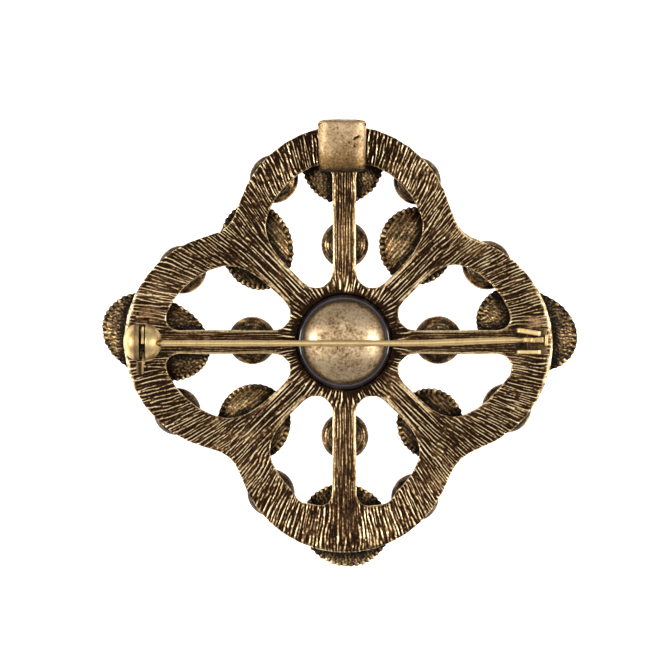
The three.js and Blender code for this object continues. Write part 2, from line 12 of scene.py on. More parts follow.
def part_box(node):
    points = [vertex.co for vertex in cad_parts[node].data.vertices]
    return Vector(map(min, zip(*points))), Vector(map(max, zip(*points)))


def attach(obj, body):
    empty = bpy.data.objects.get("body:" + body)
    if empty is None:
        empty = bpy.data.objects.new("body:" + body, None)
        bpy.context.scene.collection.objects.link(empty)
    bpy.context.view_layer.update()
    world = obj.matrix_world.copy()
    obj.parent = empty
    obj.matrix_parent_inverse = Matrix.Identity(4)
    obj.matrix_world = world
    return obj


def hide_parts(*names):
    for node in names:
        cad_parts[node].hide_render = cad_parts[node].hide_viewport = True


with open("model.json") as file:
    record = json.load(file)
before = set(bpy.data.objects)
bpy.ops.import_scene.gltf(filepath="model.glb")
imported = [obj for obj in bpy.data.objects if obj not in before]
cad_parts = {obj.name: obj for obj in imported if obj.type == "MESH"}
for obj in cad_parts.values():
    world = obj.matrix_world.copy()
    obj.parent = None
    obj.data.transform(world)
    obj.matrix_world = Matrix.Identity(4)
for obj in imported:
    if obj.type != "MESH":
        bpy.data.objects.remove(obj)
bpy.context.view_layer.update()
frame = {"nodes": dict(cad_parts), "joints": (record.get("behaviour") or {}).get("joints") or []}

MM = 0.001

# Seeds of the noise and of the random beads
SEED = 20
SPOKE_SEED = SEED + 20
GRAIN_SEED = SEED + 30
SOLDER_SEED = SEED + 35
WEAR_SEED = SEED + 40
STREAK_SEED = SEED + 50
BEAD_SEED = SEED + 60
SMALL_CUP_SEED = SEED + 100
BAIL_SEED = SEED + 200

# The photograph: its size in pixels, its scale on the back of the ring, and its middle seen from the hub
PHOTO_PIXELS = 668
PIXELS_PER_MM = 7.13
PHOTO_MIDDLE = (-1.44, 1.12)
CAMERA_DISTANCE = 600.0
SENSOR_WIDTH = 36.0

# Relief on the back of the ring, on a grid of rays from the hub
RAYS = 1650
RAY_STEP = 0.265
CROSSING_RANGE = (0.08, 0.92)
RELIEF_START = 6.2
RELIEF_END = 34.0
FIELD_STEP = 0.15
FIELD_LIMIT = 3.0
FIELD_MARGIN = 7.0
FIELD_SMOOTHING = 1.3
EDGE_ROUND = 0.3
EDGE_DROP = 0.24
GROOVE_DEPTH = 0.2
RIM_PLAIN_WIDTH = 0.02
RIM_FADE_WIDTH = 0.2
STROKE_SPACING = 0.155
STROKE_APART = 1.2
STROKE_CONTRAST = (-0.12, 0.36)
STROKE_LENGTH = 1.7
STROKE_SWAY = 2.4
SWAY_SIZE = 3.0
GRAIN_SIZE = 0.2
GRAIN_SHARE = 0.35
HUB_STROKE_RADIUS = 6.8
NOISE_COLUMNS = 64

# Strokes further out: seed, radius where they are evenly spaced, start and end of the change to them
STROKE_ZONES = [(10, 16.0, 9.0, 11.5), (14, 25.0, 19.0, 22.5)]

# The spokes, straight and diagonal in turn, and where their strokes give way to those of the ring and the hub
SPOKES = 8
SPOKE_STROKE_SPACINGS = (0.125, 0.17)
SPOKE_STROKE_LENGTH = 3.2
SPOKE_FIRST_COLUMN = 30
SPOKE_ENDS = (26.0, 18.5)
SPOKE_EDGES = (1.3, 2.4)
SPOKE_STARTS = (8.4, 10.0)
SPOKE_END_FADE = 2.0
PLAIN_DIAGONAL_EDGES = (0.3, 0.75)

# Wear, stains and patina on the ring, with patina and painted shade round the hub
WEAR_SIZE = 2.2
WEAR_RANGE = (0.6, 0.9)
WEAR_SHARE = 0.3
STAIN_SIZE = 0.35
STAIN_RANGE = (0.35, 0.75)
STAIN_FADE = (0.15, 0.4)
STAIN_PATINA = 0.4
SPOKE_PATINA_EDGES = (0.25, 0.4)
SPOKE_PATINA = 0.28
RING_PATINA = 0.04
# Darker round the hub: partly patina, partly painted shade beside the domed boss
HUB_PATINA_AND_SHADE = 0.7
HUB_DARK_RADII = (6.2, 7.2)
SMUDGE_SIZE = 0.6
SMUDGE_REACH = 1.3
WALL_PATINA = 0.5

# Places of the ring that are darker: middle from the hub, size and strength. The first three, beside and
# below the bail, are its painted shadow; a negative strength makes a place lighter.
DARK_PLACES = [
    (-5.2, 27.2, 2.6, 0.3), (4.8, 27.0, 2.4, 0.3), (-0.3, 21.5, 2.2, 0.25), (0.0, -20.5, 3.0, 0.15),
    (-10.0, 25.5, 3.5, 0.15), (0.0, -27.0, 4.0, 0.08), (-17.0, 16.5, 3.0, 0.1), (-16.0, -14.5, 3.5, -0.1),
]

# Growth of the ring's outline: all round, at the windows' inner ends, and at places as middle, size, amount
OUTLINE_GROWTH = 0.1
WINDOW_END_RADIUS = 8.6
WINDOW_END_WIDTH = 1.2
WINDOW_END_SHIFT = -0.3
OUTLINE_SHIFTS = [
    (-6.0, -22.2, 1.0, -0.6), (6.0, -22.4, 1.0, -0.6), (23.2, -4.4, 1.2, -0.4),
    (0.0, 18.0, 3.0, 0.02), (0.0, -18.0, 3.0, 0.15), (-18.0, -0.5, 3.0, 0.1), (18.0, -0.5, 3.0, 0.1),
]

# Places where the rim of the ring is worn plain and bright: middle from the hub, size and width
PLAIN_RIMS = [
    (-31.2, 4.0, 2.4, 0.5), (-30.5, -3.5, 2.0, 0.35), (17.2, 15.2, 1.6, 0.35), (28.4, 5.5, 2.4, 0.35),
    (29.2, 0.0, 2.4, 0.3), (28.2, -5.5, 2.4, 0.35),
]

# Rims of the wall and the front of the ring: inset from the outline, height above the front
FRONT_LEVELS = [(0.0, 0.3), (0.09, 0.09), (0.3, 0.0)]

# Smooth patches of solder round the catch and the pin joint: middle from the hub, half length, half width
SOLDER_PATCHES = [
    (-27.4, 3.75, 2.3, 1.5), (26.4, 2.75, 2.3, 1.0), (-28.1, -0.2, 3.0, 2.0), (26.3, 0.2, 2.6, 2.3),
]
SOLDER_FADE = (0.5, 1.2)
SOLDER_SPECK_SIZES = (0.5, 0.4)
SOLDER_SPECK_RANGE = (0.05, 0.42)
SOLDER_SMOOTHING = 0.7

# Scalloped cups: beads round the rim, and brush marks on the back
BEAD_PITCH = 0.85
BEAD_DEPTH = 0.24
BEAD_DEPTHS = {"lobe_cup_top": 0.32, "lobe_cup_right": 0.15, "corner_cup_bottom_left": 0.12}
BEAD_SHINES = {"corner_cup_bottom_left": 0.55}
BEAD_CRESTS = (0.55, 1.0)
BEAD_BRIGHTNESS = (0.4, 0.95)
BEAD_RISE = 0.2
BEAD_LENGTHS = {"corner": 0.95, "lobe": 0.75}
BEAD_FADE = 0.4
TOOTH_MIDDLE = 0.24
SAMPLES_PER_BEAD = 7
CUP_FLAT = 0.32
CUP_EDGE = 0.98
CUP_RIM_LOW = 2.3
CUP_RIM_HIGH = 2.9
CUP_BACK_SLOPE = 0.42
CUP_BELOW_SOLID = 0.02
STREAK_SPACING = 0.17
STREAK_LENGTHS = {"corner": 1.6, "lobe": 0.3}
STREAK_RANGE = (-0.3, 0.3)
STREAK_DEPTH = 0.06
STREAK_SHINE = 0.42
CUP_PATINA = 0.7
CUP_FRONT_PATINA = 0.4
# Painted shade on the backs of the cups beside the frame: its strength and width
CUP_FRAME_SHADE = 0.5
CUP_FRAME_SHADE_WIDTH = 1.5
CUP_SHADES = {
    "lobe_cup_right": 0.12,
    "lobe_cup_left": 0.06,
    "lobe_cup_bottom": -0.06,
    "lobe_cup_top": 0.08,
    "corner_cup_bottom_left": -0.1,
}

# Cups that bulge or are flattened at places round the rim: direction and spread in degrees, amount
CUP_BULGES = {
    "lobe_cup_left": [(115, 32, 0.65), (175, 40, 0.35)],
    "lobe_cup_right": [(-122, 38, -1.35), (-18, 45, 0.6), (62, 22, -0.3)],
    "lobe_cup_bottom": [(-90, 60, 0.25)],
}

# Small cups: their flats as shares of the radius, their rim and top as shares of the depth, and their patina
# and painted shade
SMALL_CUP_SIDES = 72
SMALL_CUP_GROWTH = 0.1
SMALL_CUP_FRONT_FLAT = 0.4
SMALL_CUP_BACK_FLAT = 0.45
SMALL_CUP_RIM = 0.52
SMALL_CUP_TOP = 0.995
SMALL_CUP_PATINA = 0.42
# Share of the painted shade beside the frame that the small cups take
SMALL_CUP_FRAME_SHADE = 0.6
TURNED_LINE_PITCH = 0.5
TURNED_LINE_DEPTH = 0.05
TURNED_LINE_PATINA = 0.2
SPOT_COLUMNS = 24
SPOT_ROWS = 6
SPOT_PATINA = 0.4

# Satin brass of the dome and of the bail: shares of patina and painted shade, and their colours
DOME_TONES = [
    (0.0, (0.72, 0.54, 0.33)),
    (0.3, (0.48, 0.335, 0.185)),
    (0.6, (0.20, 0.12, 0.058)),
    (1.0, (0.03, 0.018, 0.011)),
]
BAIL_TONES = [
    (0.0, (0.72, 0.55, 0.36)),
    (0.3, (0.50, 0.352, 0.20)),
    (0.6, (0.212, 0.127, 0.047)),
    (1.0, (0.03, 0.018, 0.01)),
]

# The boss: a dome inside a dark collar, with its dents as place, size and depth
BOSS_SIDES = 128
DOME_RADIUS = 5.95
DOME_FOOT = 5.6
COLLAR_RADIUS = 6.7
COLLAR_LEVELS = [
    (6.7, 5.15), (6.68, 5.3), (6.62, 5.42), (6.5, 5.5),
    (6.22, 5.645), (6.14, 5.67), (6.06, 5.66), (5.99, 5.6),
]
BOSS_DENTS = [(-2.6, 0.9, 0.4, 0.08), (2.2, 1.5, 0.3, 0.07), (-0.6, -1.7, 0.3, 0.04), (1.1, 0.6, 0.25, 0.03)]
BOSS_FLAT_RADIUS = 2.2
BOSS_DOME_DEPTH = 0.8
BOSS_PATINA = 0.2
# Painted shade on the top of the dome, and the radius it spreads over
BOSS_TOP_SHADE = 0.12
BOSS_TOP_RADIUS = 2.8
DENT_PATINA = 2.0

# The bail, and its slits as middle from the hub, half length, half width, turn in degrees and depth
BAIL_SIDES = 170
BAIL_SECTION_STEPS = 4000
BAIL_SLITS = [
    (1.67, 28.52, 0.45, 0.1, 29, 0.2), (1.4, 27.33, 0.2, 0.12, -60, 0.12), (0.64, 27.8, 0.14, 0.12, 0, 0.1),
]
BAIL_THICKNESS = 0.9
BAIL_BEND = 0.75
BAIL_CROWN = 0.75
BAIL_CROWN_AT_ENDS = 0.3
BAIL_WIDTH_POWER = 9
BAIL_DEPTH_POWER = 2.6
BAIL_TAPER = 0.05
BAIL_SINK = 0.15
BAIL_PIT_DEPTH = 0.05
BAIL_PIT_SIZES = (0.8, 1.2)
BAIL_PATINA = 0.36
# The strap is darker towards its foot, and on its foot
BAIL_LOW_DARKENING = 0.5
# Painted shade on the inside of the strap, which faces the ring
BAIL_INSIDE_SHADE = 0.3
BAIL_FOOT_DARKENING = 0.3
SLIT_PATINA = 5.0

# The catch, the lever and the pin joint
FITTING_SINK = 0.12
FITTING_SHARP_ANGLE = 38
CATCH_SLOT = 0.87
CATCH_RADIUS = 2.5
CATCH_HALF_DEPTH = 2.25
CATCH_CORE_RADIUS = 1.1
FLANGE_WIDTH = 0.7
FLANGE_STEP = 0.07
CATCH_SIDES = 64
CATCH_FOOT_HALF = (2.3, 1.2)
CATCH_FOOT_HEIGHT = 0.4
CATCH_LEG_GAP = 0.03
CATCH_LEG_REACH = 1.725
CATCH_LEG_HALF_WIDTH = 0.96
CATCH_LEG_HEIGHT = 1.6
NOTCH_GAP = 0.045
NOTCH_BELOW = 0.6
NOTCH_PAST_TIP = 0.07
NOTCH_EDGE = 0.02
LEVER_THICKNESS = 0.38
LEVER_SHIFT = 0.1
LEVER_RADIUS = 2.3
LEVER_BORE_RADIUS = 1.3
LEVER_TOP_ANGLE = 97
LEVER_TAB_ANGLE = -165
TAB_START = 2.65
TAB_REACH = 4.6
TAB_BREADTH = 0.95
TAB_HEIGHT = 0.6
TAB_SHIFT = -0.4
TAB_GROOVE = 0.3
TAB_GROOVE_START = 0.25
ARM_PAST_TAB = 0.5
ARM_INSET = 0.05
EAR_X = (24.0, 27.45)
EAR_ABOVE_RIVET = 1.1
EAR_CORNER = 0.6
UPPER_EAR_Y = (1.06, 1.72)
UPPER_EAR_TURN = -9
LOWER_EAR_Y = (-1.66, -1.12)
JOINT_FLOOR_HEIGHT = 0.4
JOINT_FLOOR_Y = (-1.7, 1.95)
JOINT_WALL_THICKNESS = 0.44
JOINT_WALL_Y = (-0.5, 1.0)
JOINT_WALL_TOP = 9.5
RIVET_SIDES = 28
RIVET_LEVELS = [(0.3, 0.0), (0.42, 0.04), (0.45, 0.12)]

# Edges of the plates and blocks that the fittings are made of
PLATE_SHARP_ANGLE = 35
SMALL_EDGE = 0.1

# The pin
PIN_RADIUS = 0.42
PIN_TIP_RADIUS = 0.14
PIN_TAPER_LENGTH = 0.45
PIN_SHORTER = 0.35
PIN_LINE_Y = -0.18
PIN_BOW = 0.48
PIN_BOW_START_X = 8.0
PIN_SIDES = 24
PIN_STEPS = 90
EYE_RADIUS = 1.0
EYE_HOLE_RADIUS = 0.6
EYE_THICKNESS = 0.75
EYE_SIDES = 40
TAIL_START = 0.8
TAIL_HEIGHT = 0.8

# The studio, in metres: its lamps as place, size and radiance, and its floor
LAMPS = {
    "overhead": ((0.0, 0.05, 0.95), (0.85, 0.85), 1.05),
    "left": ((-0.33, 0.0, 0.25), (0.16, 0.2), 9.0),
    "right": ((0.33, 0.0, 0.25), (0.16, 0.2), 8.0),
}
WORLD_TONE = (0.42, 0.42, 0.43, 1.0)
FLOOR_HALF = 3.0
FLOOR_BELOW = 0.0002
FLOOR_GLOW = 1.1
CAMERA_REACH = 10.0


# Places taken from the frame

def box_mm(node):
    low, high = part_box(node)
    return np.array(low) / MM, np.array(high) / MM


def node_points(node):
    return mesh_points(frame["nodes"][node].data) / MM


BOSS_LOW, BOSS_HIGH = box_mm("centre_boss")
HUB = (BOSS_LOW + BOSS_HIGH)[:2] / 2
FRAME_LOW, FRAME_HIGH = box_mm("frame")
FRAME_FRONT = FRAME_LOW[2]
FRAME_BACK = FRAME_HIGH[2]
JOINTS = {joint["name"]: np.array(joint["pos_m"]) / MM for joint in frame["joints"]}
RIVET = JOINTS["pin_swing"]
CATCH = JOINTS["lever_roll"]


# Small numeric helpers

def smooth_share(value, low, high):
    share = np.clip((value - low) / (high - low), 0.0, 1.0)
    return share * share * (3.0 - 2.0 * share)


def full_turn(count):
    return 2 * math.pi * np.arange(count) / count


def turned(a, b, degrees):
    """The place (a, b) turned about the origin."""
    cosine = math.cos(math.radians(degrees))
    sine = math.sin(math.radians(degrees))
    return a * cosine - b * sine, a * sine + b * cosine


def soft_spots(places, x, y):
    """The sum of soft round spots, each given by its middle, size and strength."""
    total = np.zeros_like(x)
    for middle_x, middle_y, size, strength in places:
        total += strength * np.exp(-((x - middle_x) ** 2 + (y - middle_y) ** 2) / (2 * size ** 2))
    return total


def blurred(field, sigma):
    reach = int(3 * sigma + 1)
    weights = np.exp(-0.5 * (np.arange(-reach, reach + 1) / sigma) ** 2)
    weights /= weights.sum()
    for axis in (0, 1):
        border = [(0, 0), (0, 0)]
        border[axis] = (reach, reach)
        wide = np.pad(field, border, mode="reflect")
        length = field.shape[axis]
        field = sum(
            weight * np.take(wide, range(start, start + length), axis)
            for start, weight in enumerate(weights)
        )
    return field


def between_points(field, x, y):
    x = np.clip(x, 0, field.shape[1] - 1.001)
    y = np.clip(y, 0, field.shape[0] - 1.001)
    column = x.astype(int)
    row = y.astype(int)
    u = x - column
    v = y - row
    low = field[row, column] * (1 - u) + field[row, column + 1] * u
    high = field[row + 1, column] * (1 - u) + field[row + 1, column + 1] * u
    return low * (1 - v) + high * v


class LatticeNoise:
    """Smooth seeded noise from 0 to 1 over a plane; staggered columns start at different places."""

    def __init__(self, seed, columns=NOISE_COLUMNS, rows=64, staggered=False):
        random = np.random.default_rng(seed)
        self.columns = columns
        self.rows = rows
        self.table = random.random((columns, rows))
        self.starts = rows * random.random(columns) if staggered else np.zeros(columns)

    def along_column(self, column, v):
        column = column % self.columns
        v = v + self.starts[column]
        row = np.floor(v).astype(int)
        share = smooth_share(v - row, 0, 1)
        here = self.table[column, row % self.rows]
        after = self.table[column, (row + 1) % self.rows]
        return here * (1 - share) + after * share

    def __call__(self, u, v):
        column = np.floor(u).astype(int)
        share = smooth_share(u - column, 0, 1)
        return self.along_column(column, v) * (1 - share) + self.along_column(column + 1, v) * share


# Making meshes, in millimetres until a piece is added

def mesh_from(points, faces):
    mesh = bpy.data.meshes.new("shape")
    mesh.from_pydata(np.asarray(points, float).tolist(), [], [list(map(int, face)) for face in faces])
    return mesh


def facing_out(mesh):
    shell = bmesh.new()
    shell.from_mesh(mesh)
    bmesh.ops.recalc_face_normals(shell, faces=shell.faces)
    shell.to_mesh(mesh)
    shell.free()
    return mesh


def stacked_rings(rings, joined_ends=False):
    """A closed skin over rings with the same number of points, with its ends capped or joined."""
    sides = len(rings[0])
    levels = len(rings)
    faces = []
    for level in range(levels if joined_ends else levels - 1):
        low = level * sides
        high = (level + 1) % levels * sides
        for n in range(sides):
            after = (n + 1) % sides
            faces.append((low + n, low + after, high + after, high + n))
    if not joined_ends:
        faces.append(range(sides))
        faces.append(range((levels - 1) * sides, levels * sides))
    return facing_out(mesh_from(np.concatenate(rings), faces))


def turned_shell(levels, axis, middle, sides, joined_ends=False):
    """A skin turned about a line along X or Y (axis 0 or 1); levels give its radius and place on the line."""
    angle = full_turn(sides)
    rings = []
    for radius, place in levels:
        ring = np.empty((sides, 3))
        ring[:, axis] = place
        ring[:, 1 - axis] = middle[1 - axis] + radius * np.cos(angle)
        ring[:, 2] = middle[2] + radius * np.sin(angle)
        rings.append(ring)
    return stacked_rings(rings, joined_ends)


def rounded_plate(outline, place, low, high, edge=SMALL_EDGE):
    """A plate between two depths, with its edges rounded; place turns (a, b, depth) into x, y, z."""
    count = len(outline)
    points = [place(a, b, depth) for depth in (low, high) for a, b in outline]
    faces = [range(count), range(count, 2 * count)]
    for n in range(count):
        after = (n + 1) % count
        faces.append((n, after, count + after, count + n))
    mesh = facing_out(mesh_from(points, faces))
    shell = bmesh.new()
    shell.from_mesh(mesh)
    edges = [e for e in shell.edges if e.calc_face_angle() > math.radians(PLATE_SHARP_ANGLE)]
    bmesh.ops.bevel(
        shell, geom=edges, offset=edge, segments=3, profile=0.5, affect="EDGES", clamp_overlap=True
    )
    shell.to_mesh(mesh)
    shell.free()
    return mesh


def lying_flat(a, b, depth):
    return a, b, depth


def block_between(low, high):
    outline = [(low[0], low[1]), (high[0], low[1]), (high[0], high[1]), (low[0], high[1])]
    return rounded_plate(outline, lying_flat, low[2], high[2])


def united(meshes, cuts=()):
    """One closed mesh from closed meshes that overlap, less the cuts."""
    first = bpy.data.objects.new("temporary", meshes[0])
    bpy.context.scene.collection.objects.link(first)
    made = [first]
    groups = []
    for operation, others in (("UNION", meshes[1:]), ("DIFFERENCE", cuts)):
        if not others:
            continue
        groups.append(bpy.data.collections.new("temporary"))
        bpy.context.scene.collection.children.link(groups[-1])
        for mesh in others:
            made.append(bpy.data.objects.new("temporary", mesh))
            groups[-1].objects.link(made[-1])
        modifier = first.modifiers.new("step", "BOOLEAN")
        modifier.operation = operation
        modifier.solver = "EXACT"
        modifier.operand_type = "COLLECTION"
        modifier.collection = groups[-1]
    whole = first.evaluated_get(bpy.context.evaluated_depsgraph_get())
    mesh = bpy.data.meshes.new_from_object(whole)
    mesh.materials.clear()
    for temporary in made:
        bpy.data.objects.remove(temporary)
    for group in groups:
        bpy.data.collections.remove(group)
    return mesh


def mesh_points(mesh):
    points = np.empty(len(mesh.vertices) * 3)
    mesh.vertices.foreach_get("co", points)
    return points.reshape(-1, 3)


def add_attribute(mesh, name, values):
    mesh.attributes.new(name, "FLOAT", "POINT").data.foreach_set("value", np.asarray(values, np.float32))


def add_piece(name, node, body, slot, mesh, patina_and_shade, *materials):
    mesh.name = name
    mesh.transform(Matrix.Scale(MM, 4))
    # This attribute darkens the metal: real patina, and painted shade where a piece adds it
    add_attribute(mesh, "patina_and_shade", patina_and_shade)
    for material in materials:
        mesh.materials.append(material)
    piece = bpy.data.objects.new(name, mesh)
    bpy.context.scene.collection.objects.link(piece)
    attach(piece, body)
    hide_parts(node)


def add_skin(name, node, slot, rings, patina_and_shade, material):
    """Add a piece of the body that stays at rest, as a smooth skin over rings."""
    mesh = stacked_rings(rings)
    mesh.shade_smooth()
    add_piece(name, node, "root", slot, mesh, np.concatenate(patina_and_shade), material)


def add_fitting(name, node, body, mesh, patina_and_shade, material):
    """Add a piece of the catch or the pin, smooth except at its sharp edges."""
    mesh.shade_smooth()
    mesh.set_sharp_from_angle(angle=math.radians(FITTING_SHARP_ANGLE))
    add_piece(name, node, body, "yellow_brass", mesh, patina_and_shade, material)


# Materials

def add_node(tree, kind, inputs=None, **settings):
    made = tree.nodes.new(kind)
    for name, value in settings.items():
        setattr(made, name, value)
    for name, value in (inputs or {}).items():
        if isinstance(value, bpy.types.NodeSocket):
            tree.links.new(value, made.inputs[name])
        else:
            made.inputs[name].default_value = value
    return made


def new_material(name):
    material = bpy.data.materials.new(name)
    material.use_nodes = True
    tree = material.node_tree
    return material, tree, tree.nodes["Principled BSDF"]


def attribute_value(tree, name):
    return add_node(tree, "ShaderNodeAttribute", attribute_name=name).outputs["Fac"]


def noise_value(tree, scale, detail=4.0, stretch=(1.0, 1.0, 1.0)):
    place = add_node(tree, "ShaderNodeTexCoord").outputs["Object"]
    stretched = add_node(tree, "ShaderNodeMapping", {"Vector": place, "Scale": stretch}).outputs["Vector"]
    inputs = {"Vector": stretched, "Scale": scale, "Detail": detail, "Roughness": 0.6}
    return add_node(tree, "ShaderNodeTexNoise", inputs).outputs["Fac"]


def math_value(tree, operation, first, second):
    return add_node(tree, "ShaderNodeMath", {0: first, 1: second}, operation=operation).outputs[0]


def ramp_colour(tree, factor, stops):
    ramp = add_node(tree, "ShaderNodeValToRGB", {"Fac": factor})
    elements = ramp.color_ramp.elements
    while len(elements) < len(stops):
        elements.new(0.5)
    for element, (place, colour) in zip(elements, stops):
        element.position = place
        element.color = (*colour, 1.0)
    return ramp.outputs["Color"]


def range_value(tree, factor, low, high, start=0.0, end=1.0):
    inputs = {"Value": factor, "From Min": start, "From Max": end, "To Min": low, "To Max": high}
    return add_node(tree, "ShaderNodeMapRange", inputs).outputs["Result"]


def mixed_colour(tree, factor, first, second):
    inputs = {0: factor, 6: first, 7: second}
    return add_node(tree, "ShaderNodeMix", inputs, data_type="RGBA").outputs[2]


def add_bump(tree, shader, height, strength, distance_mm):
    inputs = {"Height": height, "Strength": strength, "Distance": distance_mm * MM}
    bump = add_node(tree, "ShaderNodeBump", inputs)
    tree.links.new(bump.outputs["Normal"], shader.inputs["Normal"])


def aged(tree, *layers):
    """The patina and painted shade of the mesh, varied by layers of noise, each from minus to plus its
    amount.
    """
    total = attribute_value(tree, "patina_and_shade")
    for noise, amount in layers:
        total = math_value(tree, "ADD", total, range_value(tree, noise, -amount, amount, 0.3, 0.7))
    return total


def metal_shader(tree, shader, colour, roughness):
    tree.links.new(colour, shader.inputs["Base Color"])
    tree.links.new(roughness, shader.inputs["Roughness"])
    shader.inputs["Metallic"].default_value = 1.0


def cast_brass():
    material, tree, shader = new_material("cast_brass")
    solder = attribute_value(tree, "solder")
    grain = noise_value(tree, 3400.0, 2.0)
    mottling = noise_value(tree, 420.0, 3.0)
    total = aged(tree, (grain, 0.14), (mottling, 0.1))
    stops = [
        (0.0, (0.95, 0.77, 0.49)),
        (0.2, (0.64, 0.46, 0.23)),
        (0.42, (0.27, 0.16, 0.07)),
        (0.66, (0.075, 0.039, 0.018)),
        (1.0, (0.02, 0.010, 0.006)),
    ]
    reddish = [(0.0, (0.36, 0.19, 0.08)), (0.35, (0.12, 0.055, 0.024)), (1.0, (0.018, 0.009, 0.006))]
    soldered = math_value(tree, "MULTIPLY", solder, 0.85)
    colour = mixed_colour(tree, soldered, ramp_colour(tree, total, stops), ramp_colour(tree, total, reddish))
    metal_shader(tree, shader, colour, range_value(tree, total, 0.3, 0.6))
    add_bump(tree, shader, noise_value(tree, 5200.0, 2.0), 0.25, 0.03)
    return material


def cup_brass(name, smoothest, roughest):
    material, tree, shader = new_material(name)
    grain = noise_value(tree, 3000.0, 3.0)
    mottling = noise_value(tree, 650.0, 3.0)
    total = aged(tree, (grain, 0.28), (mottling, 0.16))
    stops = [
        (0.0, (0.85, 0.66, 0.36)),
        (0.28, (0.42, 0.275, 0.12)),
        (0.52, (0.165, 0.098, 0.042)),
        (0.76, (0.05, 0.033, 0.018)),
        (1.0, (0.014, 0.011, 0.008)),
    ]
    metal_shader(tree, shader, ramp_colour(tree, total, stops), range_value(tree, total, smoothest, roughest))
    add_bump(tree, shader, grain, 0.4, 0.04)
    return material


def satin_brass(name, mottled, grained, stops, pit_scale=2100.0, pit_range=(0.64, 0.72)):
    material, tree, shader = new_material(name)
    mottling = noise_value(tree, 420.0, 5.0)
    grain = noise_value(tree, 2700.0, 3.0)
    specks = noise_value(tree, pit_scale, 2.0)
    pits = range_value(tree, specks, 0.0, 0.35, *pit_range)
    total = math_value(tree, "ADD", aged(tree, (mottling, mottled), (grain, grained)), pits)
    metal_shader(tree, shader, ramp_colour(tree, total, stops), range_value(tree, total, 0.34, 0.6))
    add_bump(tree, shader, math_value(tree, "SUBTRACT", grain, pits), 0.3, 0.025)
    return material


def yellow_brass():
    material, tree, shader = new_material("yellow_brass")
    mottling = noise_value(tree, 700.0, 4.0)
    brushing = noise_value(tree, 2600.0, 2.0, (1.0, 0.25, 0.4))
    total = aged(tree, (mottling, 0.12), (brushing, 0.1))
    stops = [
        (0.0, (0.76, 0.55, 0.25)),
        (0.4, (0.36, 0.24, 0.10)),
        (0.75, (0.16, 0.095, 0.042)),
        (1.0, (0.03, 0.018, 0.012)),
    ]
    metal_shader(tree, shader, ramp_colour(tree, total, stops), range_value(tree, total, 0.42, 0.6))
    add_bump(tree, shader, brushing, 0.25, 0.02)
    return material


def dark_gloss():
    material, tree, shader = new_material("dark_gloss")
    cloud = noise_value(tree, 700.0)
    tone = ramp_colour(tree, cloud, [(0.3, (0.012, 0.008, 0.010)), (0.7, (0.034, 0.024, 0.027))])
    tree.links.new(tone, shader.inputs["Base Color"])
    tree.links.new(range_value(tree, cloud, 0.1, 0.2), shader.inputs["Roughness"])
    shader.inputs["Specular IOR Level"].default_value = 0.5
    shader.inputs["Coat Weight"].default_value = 0.6
    shader.inputs["Coat Roughness"].default_value = 0.08
    add_bump(tree, shader, noise_value(tree, 3000.0, 2.0), 0.1, 0.02)
    return material


# The ring, spokes and hub

def outline_segments():
    """Pieces of the frame's outline, from the edges of its solid just under the back bevel."""
    mesh = frame["nodes"]["frame"].data
    points = node_points("frame")
    levels = np.unique(np.round(points[:, 2], 3))
    level = levels[-2]
    on_level = np.abs(points[:, 2] - level) < 1e-3
    found = set()
    for polygon in mesh.polygons:
        corners = list(polygon.vertices)
        for a, b in zip(corners, corners[1:] + corners[:1]):
            if on_level[a] and on_level[b]:
                ends = sorted([tuple(np.round(points[a, :2], 4)), tuple(np.round(points[b, :2], 4))])
                found.add((*ends[0], *ends[1]))
    return np.array(sorted(found))


def outline_depth(xs, ys):
    """Distance into the metal from the frame's outline, negative outside, on a square grid."""
    segments = outline_segments()
    distance = np.full((len(ys), len(xs)), FIELD_LIMIT)
    for x0, y0, x1, y1 in segments:
        left, right = np.searchsorted(xs, (min(x0, x1) - FIELD_LIMIT, max(x0, x1) + FIELD_LIMIT))
        low, high = np.searchsorted(ys, (min(y0, y1) - FIELD_LIMIT, max(y0, y1) + FIELD_LIMIT))
        gx, gy = np.meshgrid(xs[left:right], ys[low:high])
        dx = x1 - x0
        dy = y1 - y0
        share = np.clip(((gx - x0) * dx + (gy - y0) * dy) / (dx * dx + dy * dy), 0, 1)
        near = np.hypot(gx - x0 - share * dx, gy - y0 - share * dy)
        distance[low:high, left:right] = np.minimum(distance[low:high, left:right], near)
    inside = np.zeros(distance.shape, bool)
    x0, y0, x1, y1 = segments.T
    for row, y in enumerate(ys):
        c = (y0 > y) != (y1 > y)
        crossings = np.sort(x0[c] + (y - y0[c]) / (y1[c] - y0[c]) * (x1[c] - x0[c]))
        inside[row] = np.searchsorted(crossings, xs) % 2 == 1
    return blurred(np.where(inside, distance, -distance), FIELD_SMOOTHING)


def stroke_noise(seed, columns, u, v):
    """Ridges and grooves side by side across u, drawn out along v, about zero."""
    noise = LatticeNoise(seed, columns, staggered=True)
    beside = (noise(u - STROKE_APART, v) + noise(u + STROKE_APART, v)) / 2
    return noise(u, v) - beside


def radial_strokes(seed, radius, x, y):
    """Strokes that fan out from the hub, spaced evenly at one radius."""
    columns = round(2 * math.pi * radius / STROKE_SPACING)
    reach = np.hypot(x, y)
    sway = LatticeNoise(seed + 2)
    turn = np.arctan2(y, x) % (2 * math.pi) / (2 * math.pi) * columns
    drift = STROKE_SWAY * (sway(x / SWAY_SIZE, y / SWAY_SIZE) - 0.5)
    return stroke_noise(seed, columns, turn + drift, reach / STROKE_LENGTH)


